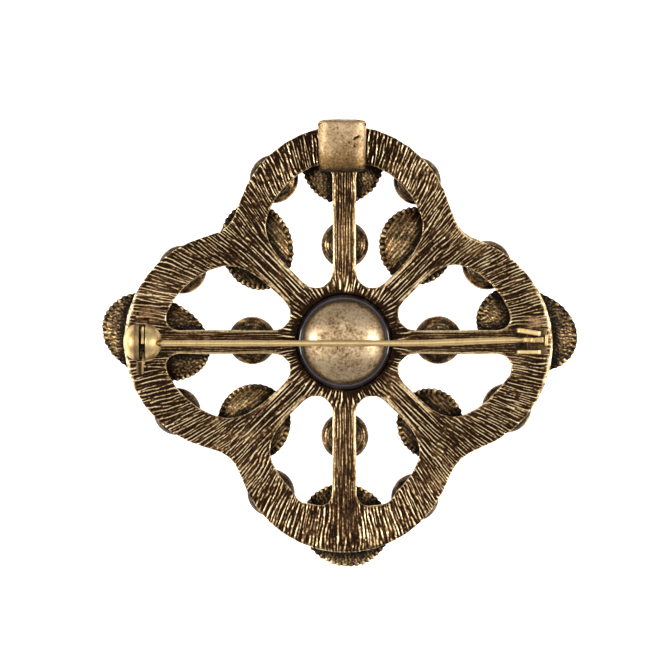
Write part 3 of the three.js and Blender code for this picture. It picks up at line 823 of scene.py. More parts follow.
def stroke_ridges(x, y, d):
    """Height from 0 to 1 of the strokes on the back of the ring, and the share of the straight spokes."""
    reach = np.hypot(x, y)
    strokes = radial_strokes(SEED, HUB_STROKE_RADIUS, x, y)
    for seed, radius, near, far in STROKE_ZONES:
        share = smooth_share(reach, near, far)
        strokes = strokes * (1 - share) + radial_strokes(SEED + seed, radius, x, y) * share
    straight = np.zeros_like(x)
    diagonal = np.zeros_like(x)
    for n in range(SPOKES):
        along, across = turned(x, y, -360 * n / SPOKES)
        end = SPOKE_ENDS[n % 2]
        share = 1 - smooth_share(np.abs(across), *SPOKE_EDGES)
        share *= smooth_share(along, *SPOKE_STARTS)
        share *= 1 - smooth_share(along, end - SPOKE_END_FADE, end + SPOKE_END_FADE)
        column = across / SPOKE_STROKE_SPACINGS[n % 2] + SPOKE_FIRST_COLUMN
        spoke = stroke_noise(SPOKE_SEED + n, NOISE_COLUMNS, column, along / SPOKE_STROKE_LENGTH)
        strokes = strokes * (1 - share) + spoke * share
        if n % 2 == 0:
            straight = np.maximum(straight, share)
        else:
            diagonal = np.maximum(diagonal, share)
    grain = LatticeNoise(GRAIN_SEED, 256, 256)
    strokes += GRAIN_SHARE * (grain(x / GRAIN_SIZE, y / GRAIN_SIZE) - 0.5)
    ridges = smooth_share(strokes, *STROKE_CONTRAST)
    ridges = np.maximum(ridges, diagonal * (1 - smooth_share(d, *PLAIN_DIAGONAL_EDGES)))
    return ridges, straight


def cut_rays(field, radii):
    """The part of a grid of rays where the field is above zero: points, faces and the edges of its rim."""
    inside = field > 0
    index = np.full(field.shape, -1)
    index[inside] = np.arange(inside.sum())
    step = 2 * math.pi / RAYS
    row, column = np.nonzero(inside)
    polar = list(zip(radii[row], column * step))
    following = np.roll(inside, -1, axis=1)
    corners_in = inside[:-1].astype(int) + inside[1:] + following[1:] + following[:-1]
    r, c = np.nonzero(corners_in == 4)
    after = (c + 1) % RAYS
    faces = np.stack([index[r, c], index[r + 1, c], index[r + 1, after], index[r, after]], 1).tolist()
    crossings = {}
    rim = []

    def crossing(a, b):
        low, high = sorted((a, b))
        key = (low[0], low[1] % RAYS, high[0], high[1] % RAYS)
        if key not in crossings:
            depth_low = field[key[0], key[1]]
            share = np.clip(depth_low / (depth_low - field[key[2], key[3]]), *CROSSING_RANGE)
            reach = radii[low[0]] + share * (radii[high[0]] - radii[low[0]])
            crossings[key] = len(polar)
            polar.append((reach, (low[1] + share * (high[1] - low[1])) * step))
        return crossings[key]

    for r, c in zip(*np.nonzero((corners_in > 0) & (corners_in < 4))):
        corners = [(r, c), (r + 1, c), (r + 1, c + 1), (r, c + 1)]
        face = []
        leaving = []
        entering = []
        for here, then in zip(corners, corners[1:] + corners[:1]):
            here_in = inside[here[0], here[1] % RAYS]
            if here_in:
                face.append(index[here[0], here[1] % RAYS])
            if here_in != inside[then[0], then[1] % RAYS]:
                point = crossing(here, then)
                face.append(point)
                (leaving if here_in else entering).append((len(face), point))
        faces.append(face)
        for place, point in leaving:
            later = [e for e in entering if e[0] > place] or entering
            rim.append((point, min(later)[1]))
    reach, angle = np.array(polar).T
    return np.column_stack([reach * np.cos(angle), reach * np.sin(angle)]), faces, rim


def solder_share(x, y):
    share = np.zeros_like(x)
    for middle_x, middle_y, half_x, half_y in SOLDER_PATCHES:
        reach = np.hypot((x - middle_x) / half_x, (y - middle_y) / half_y)
        share = np.maximum(share, 1.0 - smooth_share(reach, *SOLDER_FADE))
    specks = LatticeNoise(SOLDER_SEED)(x / SOLDER_SPECK_SIZES[0], y / SOLDER_SPECK_SIZES[1])
    return share * smooth_share(specks, *SOLDER_SPECK_RANGE)


class FrameDepth:
    """Distance into the metal from the frame's outline at places about the hub, negative outside."""

    def __init__(self):
        self.xs = np.arange(FRAME_LOW[0] - FIELD_MARGIN, FRAME_HIGH[0] + FIELD_MARGIN, FIELD_STEP)
        self.ys = np.arange(FRAME_LOW[1] - FIELD_MARGIN, FRAME_HIGH[1] + FIELD_MARGIN, FIELD_STEP)
        self.depth = outline_depth(self.xs, self.ys) + OUTLINE_GROWTH
        x, y = np.meshgrid(self.xs - HUB[0], self.ys - HUB[1])
        from_ends = np.hypot(x, y) - WINDOW_END_RADIUS
        self.depth += WINDOW_END_SHIFT * np.exp(-(from_ends / WINDOW_END_WIDTH) ** 2)
        self.depth += soft_spots(OUTLINE_SHIFTS, x, y)
        self.slope_y, self.slope_x = np.gradient(self.depth, FIELD_STEP)

    def read(self, field, x, y):
        column = (x + HUB[0] - self.xs[0]) / FIELD_STEP
        row = (y + HUB[1] - self.ys[0]) / FIELD_STEP
        return between_points(field, column, row)

    def __call__(self, x, y):
        return self.read(self.depth, x, y)

    def inward(self, x, y):
        ways = np.column_stack([self.read(self.slope_x, x, y), self.read(self.slope_y, x, y)])
        return ways / np.linalg.norm(ways, axis=1, keepdims=True)


def ring_relief(x, y, d):
    """Height, patina with painted shade, and share of solder on the back of the ring, at places that lie d
    inside its outline.
    """
    solder = solder_share(x, y)
    wear = LatticeNoise(WEAR_SEED)
    worn = smooth_share(wear(x / WEAR_SIZE, y / WEAR_SIZE), *WEAR_RANGE)
    ridges, straight = stroke_ridges(x, y, d)
    plain = RIM_PLAIN_WIDTH + soft_spots(PLAIN_RIMS, x, y)
    groove = (1 - ridges) * (1 - WEAR_SHARE * worn)
    groove *= smooth_share(d - plain, 0.0, RIM_FADE_WIDTH) * (1 - SOLDER_SMOOTHING * solder)
    edge = np.clip(1 - d / EDGE_ROUND, 0, 1)
    drop = EDGE_DROP * (1 - np.sqrt(1 - 0.98 * edge ** 2))
    heights = FRAME_BACK - drop - GROOVE_DEPTH * groove

    inner = straight * smooth_share(d, *SPOKE_PATINA_EDGES)
    patina_and_shade = groove * (1 - 0.5 * inner) * (1 - 0.8 * (straight - inner)) + RING_PATINA + SPOKE_PATINA * inner
    stains = smooth_share(wear(x / STAIN_SIZE + 20, y / STAIN_SIZE), *STAIN_RANGE)
    patina_and_shade += STAIN_PATINA * stains * (1 - smooth_share(d, *STAIN_FADE)) * (1 - straight)
    # Patina and painted shade round the hub, beside the domed boss, with a smudged edge
    smudge = SMUDGE_REACH * wear(x / SMUDGE_SIZE + 7, y / SMUDGE_SIZE)
    patina_and_shade += HUB_PATINA_AND_SHADE * (1 - smooth_share(np.hypot(x, y) - smudge, *HUB_DARK_RADII))
    # Darker places, the first three being the painted shadow of the bail
    patina_and_shade += soft_spots(DARK_PLACES, x, y) * (groove > 0.1)
    return heights, patina_and_shade, solder


def make_frame(frame_depth, material):
    radii = np.arange(RELIEF_START, RELIEF_END, RAY_STEP)
    turns = full_turn(RAYS)
    depths = frame_depth(np.outer(radii, np.cos(turns)), np.outer(radii, np.sin(turns)))
    points, faces, rim = cut_rays(depths, radii)
    heights, patina_and_shade, solder = ring_relief(*points.T, np.maximum(frame_depth(*points.T), 0))

    # The walls and the plain front, as rims set in from the outline
    rim_points = np.unique(np.array(rim))
    inward = frame_depth.inward(*points[rim_points].T)
    place = {point: n for n, point in enumerate(rim_points)}
    rim_places = [(place[a], place[b]) for a, b in rim]
    solid = [np.column_stack([points, heights])]
    above = rim_points
    count = len(points)
    for inset, rise in FRONT_LEVELS:
        ring = points[rim_points] + inset * inward
        solid.append(np.column_stack([ring, np.full(len(ring), FRAME_FRONT + rise)]))
        below = count + np.arange(len(ring))
        faces += [(above[b], above[a], below[a], below[b]) for a, b in rim_places]
        above = below
        count += len(ring)
    faces += [[above[n] for n in triangle] for triangle in flat_between(ring, rim_places)]
    mesh = mesh_from(np.concatenate(solid) + (*HUB, 0), faces)
    mesh.shade_smooth()
    walls = np.zeros(count - len(points))
    add_attribute(mesh, "solder", np.concatenate([solder, walls]))
    patina_and_shade = np.concatenate([patina_and_shade, walls + WALL_PATINA])
    add_piece("openwork_ring", "frame", "root", "cast_brass", mesh, patina_and_shade, material)


def flat_between(places, rims):
    """Triangles that face the front between closed rims, found by crossing the rims from outside."""
    corners = [Vector(place) for place in places]
    made = geometry.delaunay_2d_cdt(corners, rims, [], 0, 1e-6)
    edges, triangles, sources, edge_sources = made[1:5]
    on_rim = {frozenset(edge): bool(source) for edge, source in zip(edges, edge_sources)}
    sides = [[frozenset(pair) for pair in zip(t, t[1:] + t[:1])] for t in triangles]
    beside = {edge: [] for edge in on_rim}
    for n, edges_of in enumerate(sides):
        for edge in edges_of:
            beside[edge].append(n)
    inside = {}
    waiting = [(found[0], on_rim[edge]) for edge, found in beside.items() if len(found) == 1]
    while waiting:
        n, state = waiting.pop()
        if n in inside:
            continue
        inside[n] = state
        for edge in sides[n]:
            waiting += [(other, state != on_rim[edge]) for other in beside[edge] if other not in inside]
    return [[sources[corner][0] for corner in reversed(t)] for n, t in enumerate(triangles) if inside[n]]


# The cups

def cup_axes(node):
    """Middle, half axes, turn, front and back of a cup, from the widest level of its solid."""
    points = np.unique(np.round(node_points(node), 2), axis=0)
    widths = {z: np.ptp(points[points[:, 2] == z, 0]) for z in np.unique(points[:, 2])}
    outline = points[points[:, 2] == max(widths, key=widths.get), :2]
    middle = (outline.max(0) + outline.min(0)) / 2
    values, ways = np.linalg.eigh(np.cov((outline - middle).T, bias=True))
    along = ways[:, 1] * (1 if ways[0, 1] > 0 else -1)
    low, high = box_mm(node)
    return middle, np.sqrt(2 * values[::-1]), math.degrees(math.atan2(along[1], along[0])), low[2], high[2]


def scalloped_profile(front, back, radius, bead_length):
    """Levels of a scalloped cup from front to back: share of the rim, height, strength of the beads."""
    levels = [(share, front, 0.0) for share in (0.05, 0.2, CUP_FLAT)]
    for step in np.linspace(0.1, 1.0, 9) * math.pi / 2:
        share = CUP_FLAT + (CUP_EDGE - CUP_FLAT) * math.sin(step)
        height = front + (CUP_RIM_LOW - front) * (1 - math.cos(step))
        levels.append((share, height, smooth_share(share, 0.8, CUP_EDGE)))
    for step in np.linspace(0, math.pi, 7):
        height = CUP_RIM_LOW + (CUP_RIM_HIGH - CUP_RIM_LOW) * (1 - math.cos(step)) / 2
        levels.append((CUP_EDGE + (1 - CUP_EDGE) * math.sin(step), height, 1.0))
    for share in np.append(np.linspace(0.96, 0.78, 12), np.linspace(0.74, 0.06, 22)):
        rise = smooth_share(CUP_EDGE - share, 0.0, CUP_BACK_SLOPE)
        beaded = smooth_share((1 - share) * radius, bead_length, bead_length - BEAD_FADE)
        levels.append((share, CUP_RIM_HIGH + (back - CUP_RIM_HIGH) * rise, beaded))
    return levels


def shaded_by_frame(frame_depth, x, y):
    """Painted shade on the backs of the cups, thickest beside the frame."""
    away = -frame_depth(x - HUB[0], y - HUB[1])
    return CUP_FRAME_SHADE * (1 - smooth_share(away, 0.0, CUP_FRAME_SHADE_WIDTH))


def cup_swell(node, way):
    """How far the rim of a cup lies outside its oval, in directions given in degrees."""
    swell = np.zeros_like(way)
    for middle, spread_angle, amount in CUP_BULGES.get(node, []):
        aside = (way - middle + 180) % 360 - 180
        swell += amount * np.exp(-(aside / spread_angle) ** 2)
    return swell


def make_scalloped_cup(node, number, frame_depth, material):
    middle, axes, turn, front, back = cup_axes(node)
    axes = axes + TOOTH_MIDDLE
    beads = round(2 * math.pi * axes.mean() / BEAD_PITCH)
    angle = full_turn(beads * SAMPLES_PER_BEAD)
    random = np.random.default_rng(BEAD_SEED + number)
    bead = np.round(beads * angle / (2 * math.pi)).astype(int) % beads
    crest = np.abs(np.cos(0.5 * beads * angle)) * random.uniform(*BEAD_CRESTS, beads)[bead]
    bright = random.uniform(*BEAD_BRIGHTNESS, beads)[bead] * BEAD_SHINES.get(node, 1.0)
    beads_patina = 1.0 - bright * smooth_share(crest, 0.1, 0.65)
    outward = math.degrees(math.atan2(*(middle - HUB)[::-1]))
    kind = node.split("_")[0]
    rings = []
    patina_and_shade = []
    profile = scalloped_profile(front, back - CUP_BELOW_SOLID, axes.mean(), BEAD_LENGTHS[kind])
    for share, height, beaded in profile:
        inset = BEAD_DEPTHS.get(node, BEAD_DEPTH) * beaded * (1 - crest)
        along = (axes[0] * share - inset) * np.cos(angle)
        across = (axes[1] * share - inset) * np.sin(angle)
        x, y = turned(along, across, turn)
        swell = 1 + cup_swell(node, np.degrees(np.arctan2(y, x))) / axes.mean()
        x = x * swell
        y = y * swell
        plain = CUP_FRONT_PATINA
        lift = np.zeros_like(x)
        shade = CUP_SHADES.get(node, 0.0)
        if height > CUP_RIM_HIGH - 0.1:
            v, u = turned(x, y, -outward)
            place = (u / STREAK_SPACING, v / STREAK_LENGTHS[kind])
            streak = smooth_share(stroke_noise(STREAK_SEED + number, NOISE_COLUMNS, *place), *STREAK_RANGE)
            lift = BEAD_RISE * beaded * (crest - 1) - STREAK_DEPTH * (1 - streak) * (1 - beaded)
            plain = CUP_PATINA - STREAK_SHINE * streak ** 2
            # painted shade beside the frame
            shade = shade + shaded_by_frame(frame_depth, middle[0] + x, middle[1] + y)
        rings.append(np.column_stack([middle[0] + x, middle[1] + y, height + lift]))
        patina_and_shade.append(plain * (1 - beaded) + beads_patina * beaded + shade)
    add_skin(node + "_beaded", node, "cup_brass", rings, patina_and_shade, material)


def small_cup_profile():
    """Levels of a small cup from its front to its back, as shares of its radius and depth."""
    front = SMALL_CUP_FRONT_FLAT
    back = SMALL_CUP_BACK_FLAT
    levels = [(0.1, 0.0), (front, 0.0)]
    for step in np.linspace(0.1, 1, 10) * math.pi / 2:
        levels.append((front + (1 - front) * math.sin(step), SMALL_CUP_RIM * (1 - math.cos(step))))
    for step in np.linspace(0.04, 1, 24) * math.pi / 2:
        rise = (SMALL_CUP_TOP - SMALL_CUP_RIM) * math.sin(step)
        levels.append((back + (1 - back) * math.cos(step), SMALL_CUP_RIM + rise))
    levels.append((0.1, SMALL_CUP_TOP))
    return levels


def make_small_cup(node, number, frame_depth, material):
    middle, axes, _, front, back = cup_axes(node)
    radius = axes.mean() + SMALL_CUP_GROWTH
    angle = full_turn(SMALL_CUP_SIDES)
    spots = LatticeNoise(SMALL_CUP_SEED + number, SPOT_COLUMNS)
    rings = []
    patina_and_shade = []
    for share, height in small_cup_profile():
        line = 0.0
        if height > 0.55:
            line = 0.5 + 0.5 * math.sin(2 * math.pi * share * radius / TURNED_LINE_PITCH)
        x = middle[0] + radius * share * np.cos(angle)
        y = middle[1] + radius * share * np.sin(angle)
        z = front + (back - front) * height - TURNED_LINE_DEPTH * line
        rings.append(np.column_stack([x, y, np.full_like(x, z)]))
        spotted = spots(SPOT_COLUMNS * angle / (2 * math.pi), np.full_like(x, SPOT_ROWS * share)) - 0.5
        # painted shade beside the frame, on the back only
        shade = SMALL_CUP_FRAME_SHADE * shaded_by_frame(frame_depth, x, y) if height > 0.5 else 0.0
        patina_and_shade.append(SMALL_CUP_PATINA + TURNED_LINE_PATINA * line + SPOT_PATINA * spotted + shade)
    add_skin(node + "_turned", node, "cup_brass", rings, patina_and_shade, material)


# The boss

def boss_profile():
    """Radius and height up the boss from the middle of its front to the top of its dome."""
    front = BOSS_LOW[2]
    shoulder = (BOSS_HIGH - BOSS_LOW)[0] / 2
    levels = [(0.3, front)]
    for step in np.linspace(0, 1, 16) * math.pi / 2:
        radius = BOSS_FLAT_RADIUS + (shoulder - 0.15 - BOSS_FLAT_RADIUS) * math.sin(step)
        levels.append((radius, front + (FRAME_FRONT - BOSS_DOME_DEPTH - front) * (1 - math.cos(step))))
    levels += [(shoulder, FRAME_FRONT - 0.6), (shoulder, FRAME_FRONT - 0.12)]
    levels += [(shoulder - 0.1, FRAME_FRONT - 0.01), (COLLAR_RADIUS + 0.1, FRAME_FRONT - 0.01)]
    levels += [(COLLAR_RADIUS, FRAME_FRONT + 0.1), *COLLAR_LEVELS]
    for step in np.linspace(0.0, 0.985, 44) * math.pi / 2:
        levels.append((DOME_RADIUS * math.cos(step), DOME_FOOT + (BOSS_HIGH[2] - DOME_FOOT) * math.sin(step)))
    return levels


def make_boss(material, collar_material):
    angle = full_turn(BOSS_SIDES)
    rings = []
    patina_and_shade = []
    for radius, height in boss_profile():
        x = radius * np.cos(angle)
        y = radius * np.sin(angle)
        dents = soft_spots(BOSS_DENTS, x, y)
        on_dome = height > DOME_FOOT and radius < DOME_RADIUS
        rings.append(np.column_stack([HUB[0] + x, HUB[1] + y, height - dents * on_dome]))
        # patina, with painted shade on the top of the dome
        tone = BOSS_PATINA + BOSS_TOP_SHADE * math.exp(-(radius / BOSS_TOP_RADIUS) ** 2)
        patina_and_shade.append(tone + DENT_PATINA * dents)
    mesh = stacked_rings(rings)
    mesh.shade_smooth()
    for polygon in mesh.polygons:
        reach = math.hypot(polygon.center.x - HUB[0], polygon.center.y - HUB[1])
        if reach > DOME_RADIUS - 0.02 and polygon.center.z > FRAME_FRONT + 0.05:
            polygon.material_index = 1
    patina_and_shade = np.concatenate(patina_and_shade)
    add_piece("domed_boss", "centre_boss", "root", "satin_brass", mesh, patina_and_shade, material, collar_material)


# The bail

def bail_path(low, high):
    """Points and outward directions, in Y and Z, along the outside of the strap from its hook to its foot."""
    bend = high[2] - BAIL_BEND
    foot = FRAME_BACK - BAIL_SINK
    run = high[1] - low[1] - 2 * BAIL_BEND
    path = [((high[1], low[2] + share * (bend - low[2])), (1, 0)) for share in np.linspace(0, 0.95, 8)]
    for middle_y, start in ((high[1] - BAIL_BEND, 0), (low[1] + BAIL_BEND, 90)):
        for turn in np.radians(np.linspace(start, start + 90, 14)):
            way = (math.cos(turn), math.sin(turn))
            path.append(((middle_y + BAIL_BEND * way[0], bend + BAIL_BEND * way[1]), way))
        if start == 0:
            path += [((middle_y - share * run, high[2]), (0, 1)) for share in np.linspace(0.015, 0.985, 62)]
    path += [((low[1], bend - share * (bend - foot)), (-1, 0)) for share in np.linspace(0.1, 1, 6)]
    return path


def bail_section(half_width):
    """Places evenly spaced round the section of the strap, from -1 to 1 across it and out from its middle."""
    turn = np.linspace(0, 2 * math.pi, BAIL_SECTION_STEPS + 1)
    across = np.sign(np.cos(turn)) * np.abs(np.cos(turn)) ** (2 / BAIL_WIDTH_POWER)
    depth = np.sign(np.sin(turn)) * np.abs(np.sin(turn)) ** (2 / BAIL_DEPTH_POWER)
    steps = np.hypot(half_width * np.diff(across), BAIL_THICKNESS / 2 * np.diff(depth))
    run = np.append(0, np.cumsum(steps))
    places = run[-1] * np.arange(BAIL_SIDES) / BAIL_SIDES
    return np.interp(places, run, across), np.interp(places, run, depth)


def slit_depth(x, y):
    deep = np.zeros_like(x)
    for middle_x, middle_y, half_length, half_width, turn, depth in BAIL_SLITS:
        along, across = turned(x - middle_x, y - middle_y, -turn)
        deep += depth * np.exp(-(along / half_length) ** 4 - (across / half_width) ** 2)
    return deep


def make_bail(material):
    low, high = box_mm("bail")
    half_width = (high[0] - low[0]) / 2
    across, depth = bail_section(half_width)
    outside = depth > 0
    inside = smooth_share(-depth, 0.0, 0.5)
    pits = LatticeNoise(BAIL_SEED)
    rings = []
    patina_and_shade = []
    for (y, z), way in bail_path(low, high):
        down = (high[1] - y) / (high[1] - low[1])
        x = (low[0] + high[0]) / 2 + half_width * (1 - BAIL_TAPER * down) * across
        along = np.full_like(x, (y - z) / BAIL_PIT_SIZES[1])
        pitted = BAIL_PIT_DEPTH * pits(x / BAIL_PIT_SIZES[0] + 30, along) * outside
        slits = slit_depth(x - HUB[0], y - HUB[1]) * outside * (way[1] > 0.9)
        crowned = BAIL_CROWN_AT_ENDS + (1 - BAIL_CROWN_AT_ENDS) * max(way[1], 0.0) ** 2
        crown = BAIL_CROWN * crowned * np.abs(across) ** 2.5
        inward = BAIL_THICKNESS / 2 * (depth - 1) - crown - pitted - slits
        rings.append(np.column_stack([x, y + inward * way[0], z + inward * way[1]]))
        # darker towards the foot of the strap, and on the foot
        tone = BAIL_PATINA + BAIL_LOW_DARKENING * down ** 2.6
        tone += BAIL_FOOT_DARKENING * smooth_share(-way[0], 0.8, 0.98)
        # painted shade on the inside of the strap
        patina_and_shade.append(tone + BAIL_INSIDE_SHADE * inside + SLIT_PATINA * slits)
    add_skin("bail_strap", "bail", "satin_brass", rings, patina_and_shade, material)


# The catch and its lever

def ball_half(side, stepped):
    """Half of the split ball: a dome with a rounded rim at the slot, with or without a flange."""
    shoulder = FLANGE_WIDTH if stepped else 0.1
    radius = CATCH_RADIUS - (FLANGE_STEP if stepped else 0.0)
    levels = [(0.02, 0.0), (CATCH_RADIUS - 0.1, 0.0), (CATCH_RADIUS - 0.03, 0.03), (CATCH_RADIUS, 0.1)]
    if stepped:
        levels += [(CATCH_RADIUS, shoulder - 0.06), (CATCH_RADIUS - 0.05, shoulder)]
    for step in np.linspace(0.02, 0.985, 22) * math.pi / 2:
        levels.append((radius * math.cos(step), shoulder + (CATCH_HALF_DEPTH - shoulder) * math.sin(step)))
    placed = [(size, CATCH[0] + side * (CATCH_SLOT / 2 + reach)) for size, reach in levels]
    return turned_shell(placed, 0, CATCH, CATCH_SIDES)


def catch_block(x_range, half_width, height):
    """A block on the back of the ring, under the ball; x_range is from the middle of the ball."""
    low = (CATCH[0] + min(x_range), CATCH[1] - half_width, FRAME_BACK - FITTING_SINK)
    return block_between(low, (CATCH[0] + max(x_range), CATCH[1] + half_width, FRAME_BACK + height))


def pin_notch():
    """The open notch in the right half of the ball, which clears the pin."""
    tip = box_mm("pin")[0][0] + PIN_SHORTER
    beyond = 2 * CATCH_RADIUS
    reach = np.append(tip + np.linspace(0, PIN_TAPER_LENGTH, 9), CATCH[0] + beyond)
    half = pin_radius(reach - tip) + NOTCH_GAP
    reach[0] -= NOTCH_PAST_TIP
    below, above = [list(zip(reach, HUB[1] + PIN_LINE_Y + side * half)) for side in (-1, 1)]
    outline = below + above[::-1]
    return rounded_plate(outline, lying_flat, CATCH[2] - NOTCH_BELOW, CATCH[2] + beyond, NOTCH_EDGE)


def catch_shade_and_patina(x, y, z):
    from_slot = np.abs(x - CATCH[0]) - CATCH_SLOT / 2
    left = x < CATCH[0]
    # Painted shade on the upper and lower rims of the ball
    patina_and_shade = 0.08 + 0.5 * smooth_share(np.abs(y - CATCH[1]) / CATCH_RADIUS, 0.5, 1.05)
    # Painted shade on the outer side of the right half
    patina_and_shade += 0.3 * smooth_share(from_slot, 1.5, CATCH_HALF_DEPTH) * (x > CATCH[0])
    # A darker flange strip, and painted shade along its step
    patina_and_shade += 0.22 * (left & (from_slot < FLANGE_WIDTH + 0.02))
    patina_and_shade += 0.2 * (left & (np.abs(from_slot - FLANGE_WIDTH) < 0.07) & (z > CATCH[2]))
    # Painted shade low down under the ball, and in the slot
    patina_and_shade += 0.6 * (1 - smooth_share(z, FRAME_BACK + CATCH_FOOT_HEIGHT, CATCH[2] - 0.6))
    return patina_and_shade + 0.8 * (from_slot < 0.02)


def make_catch(material):
    core_levels = [(CATCH_CORE_RADIUS, CATCH[0] - 1), (CATCH_CORE_RADIUS, CATCH[0] + 1)]
    core = turned_shell(core_levels, 0, CATCH, CATCH_SIDES)
    foot = catch_block((-CATCH_FOOT_HALF[0], CATCH_FOOT_HALF[0]), CATCH_FOOT_HALF[1], CATCH_FOOT_HEIGHT)
    legs = []
    for side in (-1, 1):
        leg = (side * (CATCH_SLOT / 2 + CATCH_LEG_GAP), side * CATCH_LEG_REACH)
        legs.append(catch_block(leg, CATCH_LEG_HALF_WIDTH, CATCH_LEG_HEIGHT))
    right = united([ball_half(1, False)], [pin_notch()])
    mesh = united([ball_half(-1, True), right, core, foot, *legs])
    patina_and_shade = catch_shade_and_patina(*mesh_points(mesh).T)
    add_fitting("split_ball_catch", "catch_housing", "root", mesh, patina_and_shade, material)


def arc_points(radius, start, end, steps):
    turns = np.radians(np.linspace(start, end, steps))
    return [(radius * math.cos(turn), radius * math.sin(turn)) for turn in turns]


def make_lever(material):
    def on_plate(a, b, depth):
        return CATCH[0] + LEVER_SHIFT + depth, CATCH[1] + a, CATCH[2] + b

    def on_tab(a, b, depth):
        return on_plate(*turned(a, b, LEVER_TAB_ANGLE), depth + TAB_SHIFT - LEVER_SHIFT)

    half = TAB_HEIGHT / 2
    arm_half = half - ARM_INSET
    arm_end = TAB_START + ARM_PAST_TAB
    spread_angle = math.degrees(math.asin(arm_half / LEVER_RADIUS))
    outline = arc_points(LEVER_RADIUS, LEVER_TOP_ANGLE, LEVER_TAB_ANGLE + spread_angle, 48)
    outline += [turned(arm_end, b, LEVER_TAB_ANGLE) for b in (arm_half, -arm_half)]
    outline += arc_points(LEVER_BORE_RADIUS, LEVER_TAB_ANGLE - spread_angle, LEVER_TOP_ANGLE, 48)
    plate = rounded_plate(outline, on_plate, -LEVER_THICKNESS / 2, LEVER_THICKNESS / 2, 0.06)
    corners = [(TAB_START, -half), (TAB_REACH, -half), (TAB_REACH, half), (TAB_START, half)]
    tab = rounded_plate(corners, on_tab, -TAB_BREADTH / 2, TAB_BREADTH / 2, 0.1)
    start = TAB_START + TAB_GROOVE_START
    end = 2 * TAB_REACH
    hollow = [(start, -2 * half), (end, -2 * half), (end, -half / 3), (start, -half / 3)]
    groove = rounded_plate(hollow, on_tab, -TAB_GROOVE / 2, TAB_GROOVE / 2, 0.05)
    mesh = united([plate, tab], [groove])
    x, y, z = mesh_points(mesh).T
    tab_x = x - CATCH[0] - TAB_SHIFT
    on_tab_part = y < CATCH[1] - TAB_START + 0.1
    in_groove = (np.abs(tab_x) < TAB_GROOVE / 2 + 0.01) & on_tab_part
    shaded_inside_ball = ~on_tab_part & ((y < CATCH[1] - 0.25) | (z < CATCH[2] + 1.0))
    shaded_tab_side = 0.5 * (on_tab_part & (tab_x < TAB_GROOVE))
    # Painted shade in the tab's groove, on the parts inside the ball, and on one side of the tab
    patina_and_shade = 0.1 + 0.3 * in_groove + 0.8 * shaded_inside_ball + shaded_tab_side
    add_fitting("lever_plate", "catch_lever", "catch_lever", mesh, patina_and_shade, material)


# The pin and its joint

def ear_outline(base):
    """The outline of an ear in X and Z, with its two upper corners rounded."""
    start, end = HUB[0] + np.array(EAR_X)
    height = RIVET[2] + EAR_ABOVE_RIVET - EAR_CORNER
    outline = [(start, base), (end, base)]
    for middle, turn in ((end - EAR_CORNER, 0), (start + EAR_CORNER, 90)):
        outline += [(middle + a, height + b) for a, b in arc_points(EAR_CORNER, turn, turn + 90, 9)]
    return outline


def make_pin_joint(material):
    low, high = box_mm("pin_joint")
    base = FRAME_BACK - FITTING_SINK
    outline = ear_outline(base)
    upper = HUB[1] + sum(UPPER_EAR_Y) / 2

    def on_lower_ear(a, b, depth):
        return a, HUB[1] + depth, b

    def on_upper_ear(a, b, depth):
        x, y = turned(a - RIVET[0], HUB[1] + depth - upper, UPPER_EAR_TURN)
        return RIVET[0] + x, upper + y, b

    lower_ear = rounded_plate(outline, on_lower_ear, *LOWER_EAR_Y)
    upper_ear = rounded_plate(outline, on_upper_ear, *UPPER_EAR_Y)
    floor_y, wall_y = HUB[1] + np.array([JOINT_FLOOR_Y, JOINT_WALL_Y])
    floor_top = FRAME_BACK + JOINT_FLOOR_HEIGHT
    floor = block_between((outline[0][0], floor_y[0], base), (high[0], floor_y[1], floor_top))
    wall_start = high[0] - JOINT_WALL_THICKNESS
    wall = block_between((wall_start, wall_y[0], base), (high[0], wall_y[1], JOINT_WALL_TOP))
    rivet_levels = [(radius, low[1] + inset) for radius, inset in RIVET_LEVELS]
    rivet_levels += [(radius, high[1] - inset) for radius, inset in reversed(RIVET_LEVELS)]
    rivet = turned_shell(rivet_levels, 1, RIVET, RIVET_SIDES)
    mesh = united([lower_ear, upper_ear, floor, wall, rivet])
    x, y, z = mesh_points(mesh).T
    on_wall = x > high[0] - 0.5
    # Painted shade: the end wall darker below the rivet, and the ears, rivet and floor darker below the ears'
    # tops
    wall_shade = 0.7 * (1 - smooth_share(z, RIVET[2] - 1, RIVET[2]))
    ear_shade = 0.95 * (1 - smooth_share(z, RIVET[2] + 0.42, RIVET[2] + 1.0))
    patina_and_shade = np.where(on_wall, wall_shade, ear_shade)
    add_fitting("riveted_pin_joint", "pin_joint", "root", mesh, patina_and_shade, material)


def pin_line(x):
    return HUB[1] + PIN_LINE_Y + PIN_BOW * smooth_share(x - HUB[0], PIN_BOW_START_X, RIVET[0] - HUB[0])


def pin_radius(from_tip):
    share = np.sqrt(np.clip(from_tip / PIN_TAPER_LENGTH, 0.0, 1.0))
    return PIN_TIP_RADIUS + (PIN_RADIUS - PIN_TIP_RADIUS) * share


